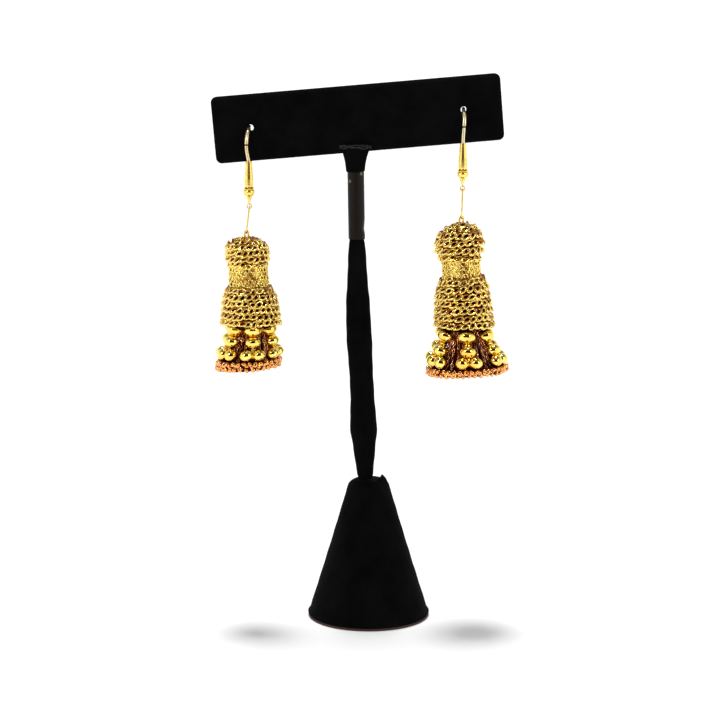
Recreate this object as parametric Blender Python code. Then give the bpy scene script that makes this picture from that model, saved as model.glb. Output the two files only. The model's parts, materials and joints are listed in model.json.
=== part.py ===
# A pair of gold tassel earrings hanging on a velvet T-bar display stand.
# Metres, +Z up, +X to the right and the viewer on the -Y side. The origin is the middle of the
# stand's underside, on the surface that it stands on.

from math import cos, hypot, pi, radians, sin, sqrt

import bmesh
import bpy
from mathutils import Vector

# Clearances
SEAT_GAP = 0.0003      # between velvet pieces that rest on each other
BORE_GAP = 0.00015     # round a post in its socket, and a wire in its hole
FIT_GAP = 0.0001       # between small pieces of jewellery that touch

# Stand: weighted cone
BASE_RADIUS = 0.0169
BASE_TOP_RADIUS = 0.0052
BASE_HEIGHT = 0.0385
BASE_FOOT = 0.0006     # rounding of the lower edge
BASE_SHOULDER = 0.0017  # rounding of the top edge
SOCKET_DEPTH = 0.010

# Stand: post, its velvet sleeve and the clip under the bar
POST_LENGTH = 0.0899   # from the cone's top to the bar's underside
POST_RADIUS = 0.0021
STEM_RADIUS = 0.0012   # the post's thin lower part, inside the sleeve
POST_DRIFT = 0.0036    # how far left of the cone's axis the post's head stands
SLEEVE_LENGTH = 0.0661
SLEEVE_RADIUS = 0.0037
CLIP_LENGTH = 0.0054   # below the bar's underside
CLIP_GRIP = 0.0021     # how far its cheeks reach up the bar
CLIP_RADIUS = 0.0025   # at its foot
CLIP_HALF_WIDTH = 0.0045
CLIP_WALL = 0.0009     # each cheek
CLIP_FLOOR = 0.0008    # between the post's head and the bar
CLIP_SQUARING = 0.45   # how far its section turns from round to square at the lip

# Stand: bar
BAR_LENGTH = 0.0775
BAR_HEIGHT = 0.0178
BAR_THICK = 0.005
BAR_TILT = radians(4.8)
BAR_SHIFT = 0.0006     # the bar's middle, to the right of the post's head
BAR_CORNER = 0.0016
BAR_EDGE = 0.0007
HOLE_SPACING = 0.0568
HOLE_RADIUS = 0.001

# Ear wire, with the bell and the bead threaded on it
WIRE_RADIUS = 0.0004
HOOK_RADIUS = 0.0045   # centre line of the bend over the bar
HOOK_DROP = 0.0208     # from the bar's hole down to the ring's centre
TAIL_LENGTH = 0.012    # straight run behind the bar
TAIL_FLICK = 0.0010
RING_RADIUS = 0.000625  # centre line
RING_WIRE = 0.000225
RING_STEM = 0.00027    # radius of the wire between the bead and the ring
BELL_TOP = 0.0088      # below the hole
BELL_LENGTH = 0.0072
BELL_RADIUS = 0.0013
BEAD_LENGTH = 0.0036
BEAD_RADIUS = 0.0014

# Link and the eye of the drop
LINK_LENGTH = 0.0083   # outside
LINK_HALF_WIDTH = 0.0007
LINK_WIRE = 0.0002
EYE_HEIGHT = 0.0025    # outside
EYE_HALF_WIDTH = 0.000625
EYE_WIRE = 0.000225
SHANK_RADIUS = 0.00045
SHANK_LENGTH = 0.0005  # between the eye and the head's first turn of chain

# Drop, from the crown down; all radii are outside
CHAIN_WIRE = 0.00095   # half the thickness of the wound chain
CHAIN_PITCH = 0.00203
HEAD_HEIGHT = 0.0102
HEAD_RADIUS = 0.0073
NECK_HEIGHT = 0.0041
NECK_RADIUS = 0.0053
NECK_WALL = 0.0008
BELT_RADIUS = 0.0088
FORMER_WALL = 0.0006
FRINGE_HEIGHT = 0.0125
HEM_RADIUS = 0.01145
HEM_THICK = 0.0017
HEM_SCALLOP = 0.985    # share of its radius to which the hem dips between two beads
STRAND_WIRE = 0.00035
LONG_BEAD_RADIUS = 0.0024
LONG_BEAD_HEIGHT = 0.0033
ROUND_BEAD_RADIUS = 0.0021
ROUND_BEAD_HEIGHT = 0.0031
SMALL_BEAD_RADIUS = 0.0018
SMALL_BEAD_HEIGHT = 0.0031
PAIR_OVERLAP = 0.0001  # how far each small bead reaches over the string between the two
BARE_WIRE = 0.52       # share of a bead's length below its middle where the wire is bare again
STRING_END = 0.3       # share of a small bead's length that the string runs past its middle
PLATE_THICK = 0.0008
SKIRT_WALL = 0.0007
SWAY = 0.001           # sideways wander of a drop's axis, scaled by the table below

# Numbers of sides
ROUND_SIDES = 14       # a drop's turned pieces and each turn of wound chain
CHAIN_SIDES = 5
WIRE_SIDES = 6
BEAD_SIDES = 10
BASE_SIDES = 32
POST_SIDES = 12
HEM_SIDES = 24
RING_SIDES = 12        # of the ear wire's ring, seen from its side
DRUM_STEPS = 3         # sections of the former's drum
DOME_STEPS = 4         # sections of the former's dome
SLEEVE_STEPS = 6       # sections of the sleeve's bore, and of the post inside it
STRANDS = 6
LOCK_COLUMNS = 5       # columns of the inner fringe from one lock to the next

# The two earrings as shares of the sizes above. turn: angle of the front strand. bow, lean: sideways
# places of the ear wire, in wire radii. chain: thickness and pitch of the wound chain. sway: depth
# share and shift, in SWAY. rows: for the long, round and small beads, depth share of the fringe and
# share of the hem's radius.
EARRINGS = {
    "left": {
        "side": -1, "turn": radians(8.5), "bow": -1.8, "lean": -1.7, "link": 0.9, "chain": 0.92,
        "head_height": 0.78, "head_radius": 0.89, "neck_height": 1.2, "neck_radius": 1.02,
        "belt_rows": 6, "belt_radius": 1.01, "fringe_height": 0.93, "hem_radius": 0.812, "hem_height": 0.23,
        "bead": 0.95, "hem_lift": 0.08,
        "sway": ((0.0, 0.0), (0.13, -0.75), (0.4, -0.4), (0.65, 0.15), (0.85, 0.0), (1.0, -0.8)),
        "rows": ((0.058, 0.559), (0.33, 0.667), (0.61, 0.796)),
    },
    "right": {
        "side": 1, "turn": radians(1.5), "bow": -0.3, "lean": -0.7, "link": 1.0, "chain": 1.0,
        "head_height": 1.0, "head_radius": 1.0, "neck_height": 1.0, "neck_radius": 1.0,
        "belt_rows": 7.2, "belt_radius": 1.01, "fringe_height": 0.967, "hem_radius": 1.0, "hem_height": 0.19,
        "bead": 1.0, "hem_lift": 0.07,
        "sway": ((0.0, 0.0), (0.13, -0.2), (0.31, -0.8), (0.42, -0.2), (0.7, 0.6), (1.0, 1.7)),
        "rows": ((0.125, 0.54), (0.445, 0.707), (0.668, 0.83)),
    },
}

# Lines of the wound chain's centre: depth share, radius share
HEAD_LINE = ((0.0, 0.32), (0.11, 0.74), (0.32, 0.92), (0.56, 1.0), (0.76, 0.97), (1.0, 0.84))
BELT_LINE = ((0.0, 0.75), (0.17, 0.86), (0.4, 0.91), (0.65, 0.95), (1.0, 1.0))
# Post: height share above the cone, share of POST_DRIFT
POST_LINE = ((0.0, 0.25), (0.25, 0.47), (0.5, 0.78), (0.75, 0.9), (1.0, 1.0))
# Sleeve: height share, share of SLEEVE_RADIUS
SLEEVE_LINE = ((0.0, 0.57), (0.07, 0.7), (0.13, 0.83), (0.2, 1.0), (0.27, 0.95), (0.42, 0.87),
               (0.52, 0.92), (0.67, 0.92), (0.78, 0.82), (0.9, 0.68), (1.0, 0.59))
# Clip: height share, how far it has widened from its foot to its lip
CLIP_LINE = ((0.0, 0.0), (0.4, 0.2), (0.78, 0.62), (1.0, 1.0))
# Bell and bead on the ear wire: length share, radius share
BELL_LINE = ((0.0, 0.55), (0.35, 0.68), (0.75, 0.84), (0.88, 0.88), (1.0, 1.0))
BEAD_LINE = ((0.0, 0.74), (0.16, 1.0), (0.4, 1.0), (0.62, 0.74), (0.72, 0.62), (1.0, 0.5))
# Bar from its front to its back: share of its thickness, shares of BAR_EDGE that the face is set
# back and that the outline is drawn in
BAR_SECTION = ((-0.5, 0.0, 1.0), (-0.5, 0.49, 0.3), (-0.5, 1.0, 0.0),
               (0.5, 1.0, 0.0), (0.5, 0.49, 0.3), (0.5, 0.0, 1.0))
# Section of the hem: share of its thickness from its outer face, height share
HEM_SECTION = ((0.35, 1.0), (0.0, 0.55), (0.1, 0.1), (0.7, 0.0), (1.0, 0.5), (0.9, 1.0))
# Degrees down a bead from its top end to each ring of its skin
LONG_BEAD_RINGS = (25, 68, 112, 155)
SHORT_BEAD_RINGS = (30, 90, 150)
# About Z, where the wound chains end: behind the right edge, at a corner of the turned pieces
CHAIN_END = 2 * pi / ROUND_SIDES

BAR_BOTTOM = BASE_HEIGHT + POST_LENGTH
BAR_CENTRE = BAR_BOTTOM + BAR_HEIGHT / 2
BORE_RADIUS = WIRE_RADIUS + FIT_GAP
LINK_SEAT = RING_WIRE + FIT_GAP + LINK_WIRE


def material(name, colour, roughness, metallic):
    made = bpy.data.materials.new(name)
    made.use_nodes = True
    shader = made.node_tree.nodes["Principled BSDF"]
    shader.inputs["Base Color"].default_value = (*colour, 1.0)
    shader.inputs["Roughness"].default_value = roughness
    shader.inputs["Metallic"].default_value = metallic
    return made


def add_piece(name, shape, look, parent=None):
    """An object from (points, faces), with its faces pointing out."""
    points, faces = shape
    mesh = bpy.data.meshes.new(name)
    mesh.from_pydata([tuple(point) for point in points], [], faces)
    work = bmesh.new()
    work.from_mesh(mesh)
    bmesh.ops.recalc_face_normals(work, faces=work.faces)
    work.to_mesh(mesh)
    work.free()
    mesh.shade_smooth()
    mesh.set_sharp_from_angle(angle=radians(40))
    mesh.materials.append(look)
    piece = bpy.data.objects.new(name, mesh)
    bpy.context.scene.collection.objects.link(piece)
    piece.parent = parent
    return piece


def join(piece, operation, name, shape, parent=None):
    """Cuts a shape out of a piece, or unites it with the piece."""
    tool = add_piece(name, shape, piece.data.materials[0], parent)
    tool.hide_render = True
    tool.display_type = "WIRE"
    boolean = piece.modifiers.new(name, "BOOLEAN")
    boolean.operation = operation
    boolean.solver = "EXACT"
    boolean.object = tool


def curve_value(line, share):
    """A smooth curve through a table's (share, value) rows."""
    count = len(line)
    for row in range(count - 1):
        (x0, y0), (x1, y1) = line[row], line[row + 1]
        if share <= x1 or row == count - 2:
            break
    xa, ya = line[max(row - 1, 0)]
    xb, yb = line[min(row + 2, count - 1)]
    slope0 = (y1 - ya) / (x1 - xa)
    slope1 = (yb - y0) / (xb - x0)
    width = x1 - x0
    t = min(max((share - x0) / width, 0.0), 1.0)
    return ((2 * t**3 - 3 * t**2 + 1) * y0 + (t**3 - 2 * t**2 + t) * width * slope0
            + (3 * t**2 - 2 * t**3) * y1 + (t**3 - t**2) * width * slope1)


def rings_to_shape(rings, closed=False):
    """Joins equal rings of points into one skin, with flat ends unless it is closed on itself."""
    sides = len(rings[0])
    points = [point for ring in rings for point in ring]
    faces = []
    for row in range(len(rings) if closed else len(rings) - 1):
        low, high = row * sides, (row + 1) % len(rings) * sides
        for column in range(sides):
            after = (column + 1) % sides
            faces.append((low + column, low + after, high + after, high + column))
    if not closed:
        faces.append(tuple(range(sides)))
        faces.append(tuple(len(points) - sides + column for column in range(sides)))
    return points, faces


def turned(profile, sides, closed=False, turn=0.0):
    """A turned shape about Z from (radius, height) rows; a closed profile leaves a hole through it."""
    angles = [turn + 2 * pi * column / sides for column in range(sides)]
    return rings_to_shape([[Vector((radius * cos(angle), radius * sin(angle), height))
                            for angle in angles] for radius, height in profile], closed)


def swept(path, radii, sides, closed=False):
    """A round bar along a path, whose sides keep their bearing from one point to the next."""
    count = len(path)
    rings = []
    side = None
    for index, (point, radius) in enumerate(zip(path, radii)):
        before = path[(index - 1) % count] if closed or index else point
        after = path[(index + 1) % count] if closed or index < count - 1 else point
        ahead = (after - before).normalized()
        if side is None:
            side = ahead.orthogonal()
        side = (side - ahead * side.dot(ahead)).normalized()
        across = ahead.cross(side)
        rings.append([point + radius * (side * cos(2 * pi * k / sides) + across * sin(2 * pi * k / sides))
                      for k in range(sides)])
    return rings_to_shape(rings, closed)


def bead_rows(length, radius, angles):
    """Rows of a rounded bead: place along its axis and radius."""
    widest = max(sin(radians(angle)) for angle in angles)
    return [(-cos(radians(angle)) * length / 2, sin(radians(angle)) / widest * radius) for angle in angles]


def oval(half_width, length, steps):
    """A stadium from its top down, as (across, height) rows, with its top at height 0."""
    top, bottom = -half_width, half_width - length
    arc = [pi * step / steps for step in range(steps + 1)]
    return ([(half_width * cos(angle), top + half_width * sin(angle)) for angle in arc]
            + [(-half_width * cos(angle), bottom - half_width * sin(angle)) for angle in arc])


def moved(shape, change):
    points, faces = shape
    return [Vector(change(point)) for point in points], faces


def shifted(shape, offset):
    return moved(shape, lambda point: point + Vector(offset))


def post_place(height):
    """Where the post's axis is at a height: (x, y)."""
    share = min(max((height - BASE_HEIGHT) / POST_LENGTH, 0.0), 1.0)
    return -POST_DRIFT * curve_value(POST_LINE, share), 0.0


def on_post(point):
    x, y = post_place(point.z)
    return point.x + x, point.y + y, point.z


def arc_rows(centre_radius, centre_height, radius, start, end, steps):
    """(radius, height) rows of an arc, its angles in degrees from straight out, anticlockwise."""
    rows = []
    for step in range(steps + 1):
        angle = radians(start + (end - start) * step / steps)
        rows.append((centre_radius + radius * cos(angle), centre_height + radius * sin(angle)))
    return rows


def make_base(velvet):
    slope = (BASE_RADIUS - BASE_TOP_RADIUS) / BASE_HEIGHT
    profile = arc_rows(BASE_RADIUS - BASE_FOOT * (1 + slope), BASE_FOOT, BASE_FOOT, -90, 0, 2)
    profile += arc_rows(BASE_TOP_RADIUS - BASE_SHOULDER * (1 - slope / 2), BASE_HEIGHT - BASE_SHOULDER,
                        BASE_SHOULDER, 15, 90, 3)
    base = add_piece("stand_base", turned(profile, BASE_SIDES), velvet)
    socket = turned([(STEM_RADIUS + BORE_GAP, BASE_HEIGHT + rise)
                     for rise in (-SOCKET_DEPTH, 0.0, SEAT_GAP)], POST_SIDES)
    join(base, "DIFFERENCE", "cut_socket", moved(socket, on_post))


def make_post(plastic):
    foot = BASE_HEIGHT - SOCKET_DEPTH + SEAT_GAP
    step = BASE_HEIGHT + SEAT_GAP + SLEEVE_LENGTH + SEAT_GAP
    head = BAR_BOTTOM - CLIP_FLOOR - SEAT_GAP
    rows = [(STEM_RADIUS, foot)]
    rows += [(STEM_RADIUS, BASE_HEIGHT + (step - BASE_HEIGHT) * k / SLEEVE_STEPS)
             for k in range(SLEEVE_STEPS + 1)]
    rows += [(POST_RADIUS, step + (head - step) * k / 3) for k in range(4)]
    add_piece("stand_post", moved(turned(rows, POST_SIDES), on_post), plastic)


def make_sleeve(velvet):
    foot = BASE_HEIGHT + SEAT_GAP
    bore = STEM_RADIUS + BORE_GAP
    outer = [(SLEEVE_RADIUS * radius, foot + SLEEVE_LENGTH * share) for share, radius in SLEEVE_LINE]
    inner = [(bore, foot + SLEEVE_LENGTH * k / SLEEVE_STEPS) for k in range(SLEEVE_STEPS, -1, -1)]
    sleeve = turned(outer + inner, POST_SIDES, closed=True)
    add_piece("post_sleeve", moved(sleeve, on_post), velvet)


def on_bar(point):
    """From the bar's own frame, its middle at the origin and its length along X, to the world."""
    x, y = post_place(BAR_BOTTOM)
    return (x + BAR_SHIFT + point.x * cos(BAR_TILT) - point.z * sin(BAR_TILT), y + point.y,
            BAR_CENTRE + point.x * sin(BAR_TILT) + point.z * cos(BAR_TILT))


def make_clip(plastic):
    foot = BAR_BOTTOM - CLIP_LENGTH
    height = CLIP_LENGTH + CLIP_GRIP
    half_depth = BAR_THICK / 2 + SEAT_GAP + CLIP_WALL
    x, y = post_place(BAR_BOTTOM)
    rings = []
    for share, widening in CLIP_LINE:
        half_width = CLIP_RADIUS + (CLIP_HALF_WIDTH - CLIP_RADIUS) * widening
        depth = CLIP_RADIUS + (half_depth - CLIP_RADIUS) * widening
        squareness = 1 - CLIP_SQUARING * widening    # 1 is an ellipse, less is squarer
        ring = []
        for k in range(POST_SIDES + 4):
            angle = 2 * pi * k / (POST_SIDES + 4)
            c, s = cos(angle), sin(angle)
            ring.append(Vector((x + half_width * abs(c) ** squareness * (1 if c > 0 else -1),
                                y + depth * abs(s) ** squareness * (1 if s > 0 else -1),
                                foot + height * share)))
        rings.append(ring)
    clip = add_piece("bar_clip", rings_to_shape(rings), plastic)
    bore = turned([(POST_RADIUS + BORE_GAP, foot - CLIP_LENGTH),
                   (POST_RADIUS + BORE_GAP, BAR_BOTTOM - CLIP_FLOOR)], POST_SIDES)
    join(clip, "DIFFERENCE", "cut_post_bore", moved(bore, on_post))
    slot_half = BAR_THICK / 2 + SEAT_GAP
    low = -BAR_HEIGHT / 2 - SEAT_GAP
    slot = [[Vector((CLIP_HALF_WIDTH * end * 2, slot_half * side, high)) for side, high in
             ((-1, low), (1, low), (1, 0.0), (-1, 0.0))] for end in (-1, 1)]
    join(clip, "DIFFERENCE", "cut_bar_slot", moved(rings_to_shape(slot), on_bar))


def rounded_outline(half_length, half_height, corner, steps=3):
    rows = []
    for quarter, (sx, sz) in enumerate(((1, 1), (-1, 1), (-1, -1), (1, -1))):
        for step in range(steps + 1):
            angle = pi / 2 * (quarter + step / steps)
            rows.append((sx * (half_length - corner) + corner * cos(angle),
                         sz * (half_height - corner) + corner * sin(angle)))
    return rows


def make_bar(velvet):
    """A flat board whose front and back edges are rounded in two steps."""
    rings = []
    for depth, setback, inset in BAR_SECTION:
        y = BAR_THICK * depth + (BAR_EDGE if depth < 0 else -BAR_EDGE) * setback
        outline = rounded_outline(BAR_LENGTH / 2 - BAR_EDGE * inset, BAR_HEIGHT / 2 - BAR_EDGE * inset,
                                  BAR_CORNER - BAR_EDGE * inset)
        rings.append([Vector((x, y, z)) for x, z in outline])
    bar = add_piece("stand_bar", moved(rings_to_shape(rings), on_bar), velvet)
    for name, side in (("cut_left_hole", -1), ("cut_right_hole", 1)):
        hole = turned([(HOLE_RADIUS, -BAR_THICK), (HOLE_RADIUS, BAR_THICK)], POST_SIDES)
        lying = moved(hole, lambda point: (point.x + side * HOLE_SPACING / 2, point.z, point.y))
        join(bar, "DIFFERENCE", name, moved(lying, on_bar))


def hole_place(earring):
    return Vector(on_bar(Vector((earring["side"] * HOLE_SPACING / 2, 0.0, 0.0))))


def bend_centre():
    """Height of the hook's bend above the hole's axis, where its wire lies on the hole's lower edges."""
    reach = sqrt(HOOK_RADIUS**2 - (BAR_THICK / 2) ** 2)
    return -HOLE_RADIUS + BORE_GAP + WIRE_RADIUS - reach


def plumb_x(earring):
    """How far the hanging line is beside the hole."""
    return earring["lean"] * WIRE_RADIUS


def make_hook(side, earring, gold):
    """Tail, bend through the bar, front run and ring, as one soldered wire, about the hole's centre."""
    centre = bend_centre()
    bell_top, bead_low = -BELL_TOP, -BELL_TOP - BELL_LENGTH - FIT_GAP - BEAD_LENGTH
    ring_top = -HOOK_DROP + RING_RADIUS
    path, radii = [], []
    for k in range(4):
        flick = TAIL_FLICK * (1 - k / 3) ** 2
        path.append(Vector((0.0, HOOK_RADIUS + flick, centre - TAIL_LENGTH * (1 - k / 4))))
        radii.append(WIRE_RADIUS)
    for k in range(11):
        angle = pi * k / 10
        path.append(Vector((0.0, HOOK_RADIUS * cos(angle), centre + HOOK_RADIUS * sin(angle))))
        radii.append(WIRE_RADIUS)
    for k in range(1, 6):
        share = k / 5
        x = plumb_x(earring) * share + earring["bow"] * WIRE_RADIUS * sin(pi * share)
        path.append(Vector((x, -HOOK_RADIUS, centre + (bell_top - centre) * share)))
        radii.append(WIRE_RADIUS)
    for height, radius in ((bead_low + BEAD_LENGTH / 2, WIRE_RADIUS),
                           (bead_low + BEAD_LENGTH / 4, RING_STEM), (ring_top, RING_STEM)):
        path.append(Vector((plumb_x(earring), -HOOK_RADIUS, height)))
        radii.append(radius)
    place = hole_place(earring)
    hook = add_piece("ear_hook_" + side, shifted(swept(path, radii, WIRE_SIDES), place), gold)
    angles = [2 * pi * k / RING_SIDES for k in range(RING_SIDES)]
    loop = [Vector((RING_RADIUS * sin(angle), 0.0, RING_RADIUS * cos(angle))) for angle in angles]
    ring = swept(loop, [RING_WIRE] * RING_SIDES, WIRE_SIDES, closed=True)
    ring_place = place + Vector((plumb_x(earring), -HOOK_RADIUS, -HOOK_DROP))
    join(hook, "UNION", "weld_ring_" + side, shifted(ring, ring_place))


def make_threaded(side, earring, gold):
    """The bell and the pointed bead, bored for the wire."""
    place = hole_place(earring) + Vector((plumb_x(earring), -HOOK_RADIUS, 0.0))
    top = -BELL_TOP
    for name, line, length, radius in (("hook_bell_", BELL_LINE, BELL_LENGTH, BELL_RADIUS),
                                       ("hook_bead_", BEAD_LINE, BEAD_LENGTH, BEAD_RADIUS)):
        profile = [(radius * share, top - length * depth) for depth, share in line]
        profile += [(BORE_RADIUS, top - length), (BORE_RADIUS, top)]
        add_piece(name + side, shifted(turned(profile, POST_SIDES, closed=True), place), gold)
        top -= length + FIT_GAP


class Drop:
    """The hanging half of one earring, about its swing axis, which is the ring's lowest wire."""

    def __init__(self, side, earring):
        self.side = side
        self.earring = earring
        self.pivot = bpy.data.objects.new("swing_" + side, None)
        self.pivot.location = (hole_place(earring)
                               + Vector((plumb_x(earring), -HOOK_RADIUS, -HOOK_DROP - RING_RADIUS)))
        bpy.context.scene.collection.objects.link(self.pivot)
        self.chain_wire = CHAIN_WIRE * earring["chain"]
        self.chain_pitch = CHAIN_PITCH * earring["chain"]
        self.chain_seat = self.chain_wire + BORE_GAP    # from its centre to the former under it
        self.link_low = LINK_SEAT - (LINK_LENGTH * earring["link"] - 2 * LINK_WIRE)
        self.eye_top = self.link_low + EYE_WIRE + FIT_GAP + LINK_WIRE
        self.eye_low = self.eye_top - (EYE_HEIGHT - 2 * EYE_WIRE)
        self.crown = self.eye_low - SHANK_LENGTH + self.chain_wire
        self.head_low = self.crown - HEAD_HEIGHT * earring["head_height"]
        self.belt_top = self.head_low - NECK_HEIGHT * earring["neck_height"]
        belt_height = (earring["belt_rows"] - 1) * self.chain_pitch + 2 * self.chain_wire
        self.belt_low = self.belt_top - belt_height
        self.fringe_height = FRINGE_HEIGHT * earring["fringe_height"]
        self.hem_low = self.belt_low - self.fringe_height
        self.head_radius = HEAD_RADIUS * earring["head_radius"]
        self.neck_radius = NECK_RADIUS * earring["neck_radius"]
        self.belt_radius = BELT_RADIUS * earring["belt_radius"]
        self.hem_radius = HEM_RADIUS * earring["hem_radius"]

    def head_line(self, steps=24):
        """Centre line of the head's chain in a half plane, from the crown down: (radius, height)."""
        top, low = self.crown - self.chain_wire, self.head_low + self.chain_wire
        reach = self.head_radius - self.chain_wire
        return [(reach * curve_value(HEAD_LINE, k / steps), top + (low - top) * k / steps)
                for k in range(steps + 1)]

    def belt_line(self, steps=12):
        top, low = self.belt_top - self.chain_wire, self.belt_low + self.chain_wire
        reach = self.belt_radius - self.chain_wire
        return [(reach * curve_value(BELT_LINE, k / steps), top + (low - top) * k / steps)
                for k in range(steps + 1)]

    def hang(self, point):
        """The drop's small wander to one side, and the lift of its hem on the right."""
        depth = min(max(point.z / self.hem_low, 0.0), 1.0)
        x = point.x + SWAY * curve_value(self.earring["sway"], depth)
        fall = min(max((self.belt_low - point.z) / self.fringe_height, 0.0), 1.0)
        lift = self.earring["hem_lift"] * fall * fall * point.x
        return x, point.y, point.z + lift

    def add(self, name, shape, look):
        return add_piece(name + "_" + self.side, moved(shape, self.hang), look, self.pivot)

    def weld(self, piece, name, shape):
        join(piece, "UNION", name + "_" + self.side, moved(shape, self.hang), self.pivot)


def offset_inward(line, distance):
    """A (radius, height) line moved sideways towards the axis."""
    rows = []
    for index, (radius, height) in enumerate(line):
        r0, h0 = line[max(index - 1, 0)]
        r1, h1 = line[min(index + 1, len(line) - 1)]
        length = hypot(r1 - r0, h1 - h0)
        rows.append((radius + distance * (h1 - h0) / length, height - distance * (r1 - r0) / length))
    return rows


def make_link(drop, gold):
    steps = 5
    outline = oval(LINK_HALF_WIDTH, LINK_SEAT - drop.link_low, steps)
    path = [Vector((0.0, across, LINK_SEAT + height)) for across, height in outline]
    drop.add("link", swept(path, [LINK_WIRE] * len(path), WIRE_SIDES, closed=True), gold)


def make_former(drop, gold):
    """The hollow metal form under the chain, open below, with its eye soldered on the crown."""
    neck = drop.neck_radius - NECK_WALL - FIT_GAP
    dome = offset_inward(drop.head_line(DOME_STEPS), drop.chain_seat)
    shoulder = min(neck, dome[-1][0])
    drum = [(radius - drop.chain_seat, height) for radius, height in drop.belt_line(DRUM_STEPS)]
    outer = dome + [(shoulder, drop.head_low), (neck, drop.head_low - BORE_GAP), (neck, drop.belt_top)]
    inner = [(radius - FORMER_WALL, height) for radius, height in drum[::-1]]
    inner += [(neck - FORMER_WALL, drop.belt_top), (shoulder - FORMER_WALL, drop.head_low)]
    inner += offset_inward(drop.head_line(DOME_STEPS - 1), drop.chain_seat + FORMER_WALL)[::-1]
    shank = [(SHANK_RADIUS, drop.eye_low), (SHANK_RADIUS, outer[0][1])]
    former = drop.add("drop_former", turned(shank + outer + drum + inner, ROUND_SIDES), gold)
    outline = oval(EYE_HALF_WIDTH, drop.eye_top - drop.eye_low, 5)
    path = [Vector((across, 0.0, drop.eye_top + height)) for across, height in outline]
    drop.weld(former, "weld_eye", swept(path, [EYE_WIRE] * len(path), WIRE_SIDES, closed=True))


def wound_chain(drop, line):
    """Chain wound round the drop: each turn steps down the line by one pitch."""
    lengths = [0.0]
    for (r0, h0), (r1, h1) in zip(line, line[1:]):
        lengths.append(lengths[-1] + hypot(r1 - r0, h1 - h0))
    count = round(lengths[-1] / drop.chain_pitch * ROUND_SIDES)
    path = []
    row = 0
    for step in range(count + 1):
        travelled = lengths[-1] * step / count
        while row < len(line) - 2 and lengths[row + 1] < travelled:
            row += 1
        share = (travelled - lengths[row]) / (lengths[row + 1] - lengths[row])
        radius = line[row][0] + (line[row + 1][0] - line[row][0]) * share
        height = line[row][1] + (line[row + 1][1] - line[row][1]) * share
        angle = CHAIN_END - 2 * pi * (count - step) / ROUND_SIDES
        path.append(Vector((radius * cos(angle), radius * sin(angle), height)))
    return swept(path, [drop.chain_wire] * len(path), CHAIN_SIDES)


def make_windings(drop, gold):
    drop.add("head_chain", wound_chain(drop, drop.head_line()), gold)
    drop.add("belt_chain", wound_chain(drop, drop.belt_line()), gold)


def make_neck(drop, gold):
    top, low = drop.head_low - BORE_GAP, drop.belt_top + BORE_GAP
    inner = drop.neck_radius - NECK_WALL
    profile = [(drop.neck_radius, top), (drop.neck_radius * 0.98, (top + low) / 2),
               (drop.neck_radius, low), (inner, low), (inner, top)]
    drop.add("neck_mesh", turned(profile, ROUND_SIDES, closed=True), gold)


def strand_row(drop, index):
    """Radius and height of a row of beads: 0 long, 1 round, 2 small."""
    depth, reach = drop.earring["rows"][index]
    return reach * drop.hem_radius, drop.belt_low - depth * drop.fringe_height


def plate_low(drop):
    return drop.belt_low + drop.chain_wire + SEAT_GAP


def mouth_radius(drop, height):
    """Inside radius of the former's many-sided drum, across its flats, at a height near its mouth."""
    (r0, h0), (r1, h1) = drop.belt_line(DRUM_STEPS)[-2:]
    corner = r1 + (r0 - r1) * (height - h1) / (h0 - h1) - drop.chain_seat - FORMER_WALL
    return corner * cos(pi / ROUND_SIDES)


def strand_angle(drop, index):
    """About Z, with 0 towards the viewer and positive to the right."""
    return drop.earring["turn"] + 2 * pi * index / STRANDS


def make_strand(drop, index, gold):
    """One string: a long bead, a round bead and a pair of small ones, fused on their wire."""
    angle = strand_angle(drop, index)
    outward = Vector((sin(angle), -cos(angle), 0.0))
    sideways = Vector((cos(angle), sin(angle), 0.0))
    share = drop.earring["bead"]
    first, second, third = (outward * radius + Vector((0.0, 0.0, height)) for radius, height in
                            (strand_row(drop, row) for row in range(3)))
    mouth = mouth_radius(drop, plate_low(drop)) - 2 * SEAT_GAP - STRAND_WIRE
    hanger = (outward * min(strand_row(drop, 0)[0] - SHANK_RADIUS, mouth)
              + Vector((0.0, 0.0, plate_low(drop) - SEAT_GAP)))
    down, lean = (second - hanger).normalized(), (third - second).normalized()
    path, radii = [hanger], [STRAND_WIRE]
    bead_top = first - down * LONG_BEAD_HEIGHT * share * BARE_WIRE
    if bead_top.z < hanger.z - STRAND_WIRE:
        path.append(bead_top)
        radii.append(STRAND_WIRE)
    for centre, ahead, length, radius, angles in (
            (first, down, LONG_BEAD_HEIGHT * share, LONG_BEAD_RADIUS * share, LONG_BEAD_RINGS),
            (second, (down + lean).normalized(), ROUND_BEAD_HEIGHT * share, ROUND_BEAD_RADIUS * share,
             SHORT_BEAD_RINGS)):
        rows = bead_rows(length, radius, angles)
        path += [centre + ahead * along for along, _ in rows] + [centre + ahead * length * BARE_WIRE]
        radii += [wide for _, wide in rows] + [STRAND_WIRE]
    path.append(third + lean * SMALL_BEAD_HEIGHT * STRING_END)
    radii.append(STRAND_WIRE)
    name = f"bead_strand_{index + 1}"
    strand = drop.add(name, swept(path, radii, BEAD_SIDES), gold)
    rows = bead_rows(SMALL_BEAD_HEIGHT * share, SMALL_BEAD_RADIUS * share, SHORT_BEAD_RINGS)
    for way in (-1, 1):
        centre = third + sideways * way * (SMALL_BEAD_RADIUS * share - PAIR_OVERLAP)
        bead = swept([centre + lean * along for along, _ in rows], [wide for _, wide in rows], BEAD_SIDES)
        drop.weld(strand, f"weld_bead_{index + 1}_{'left' if way < 0 else 'right'}", bead)


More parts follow.
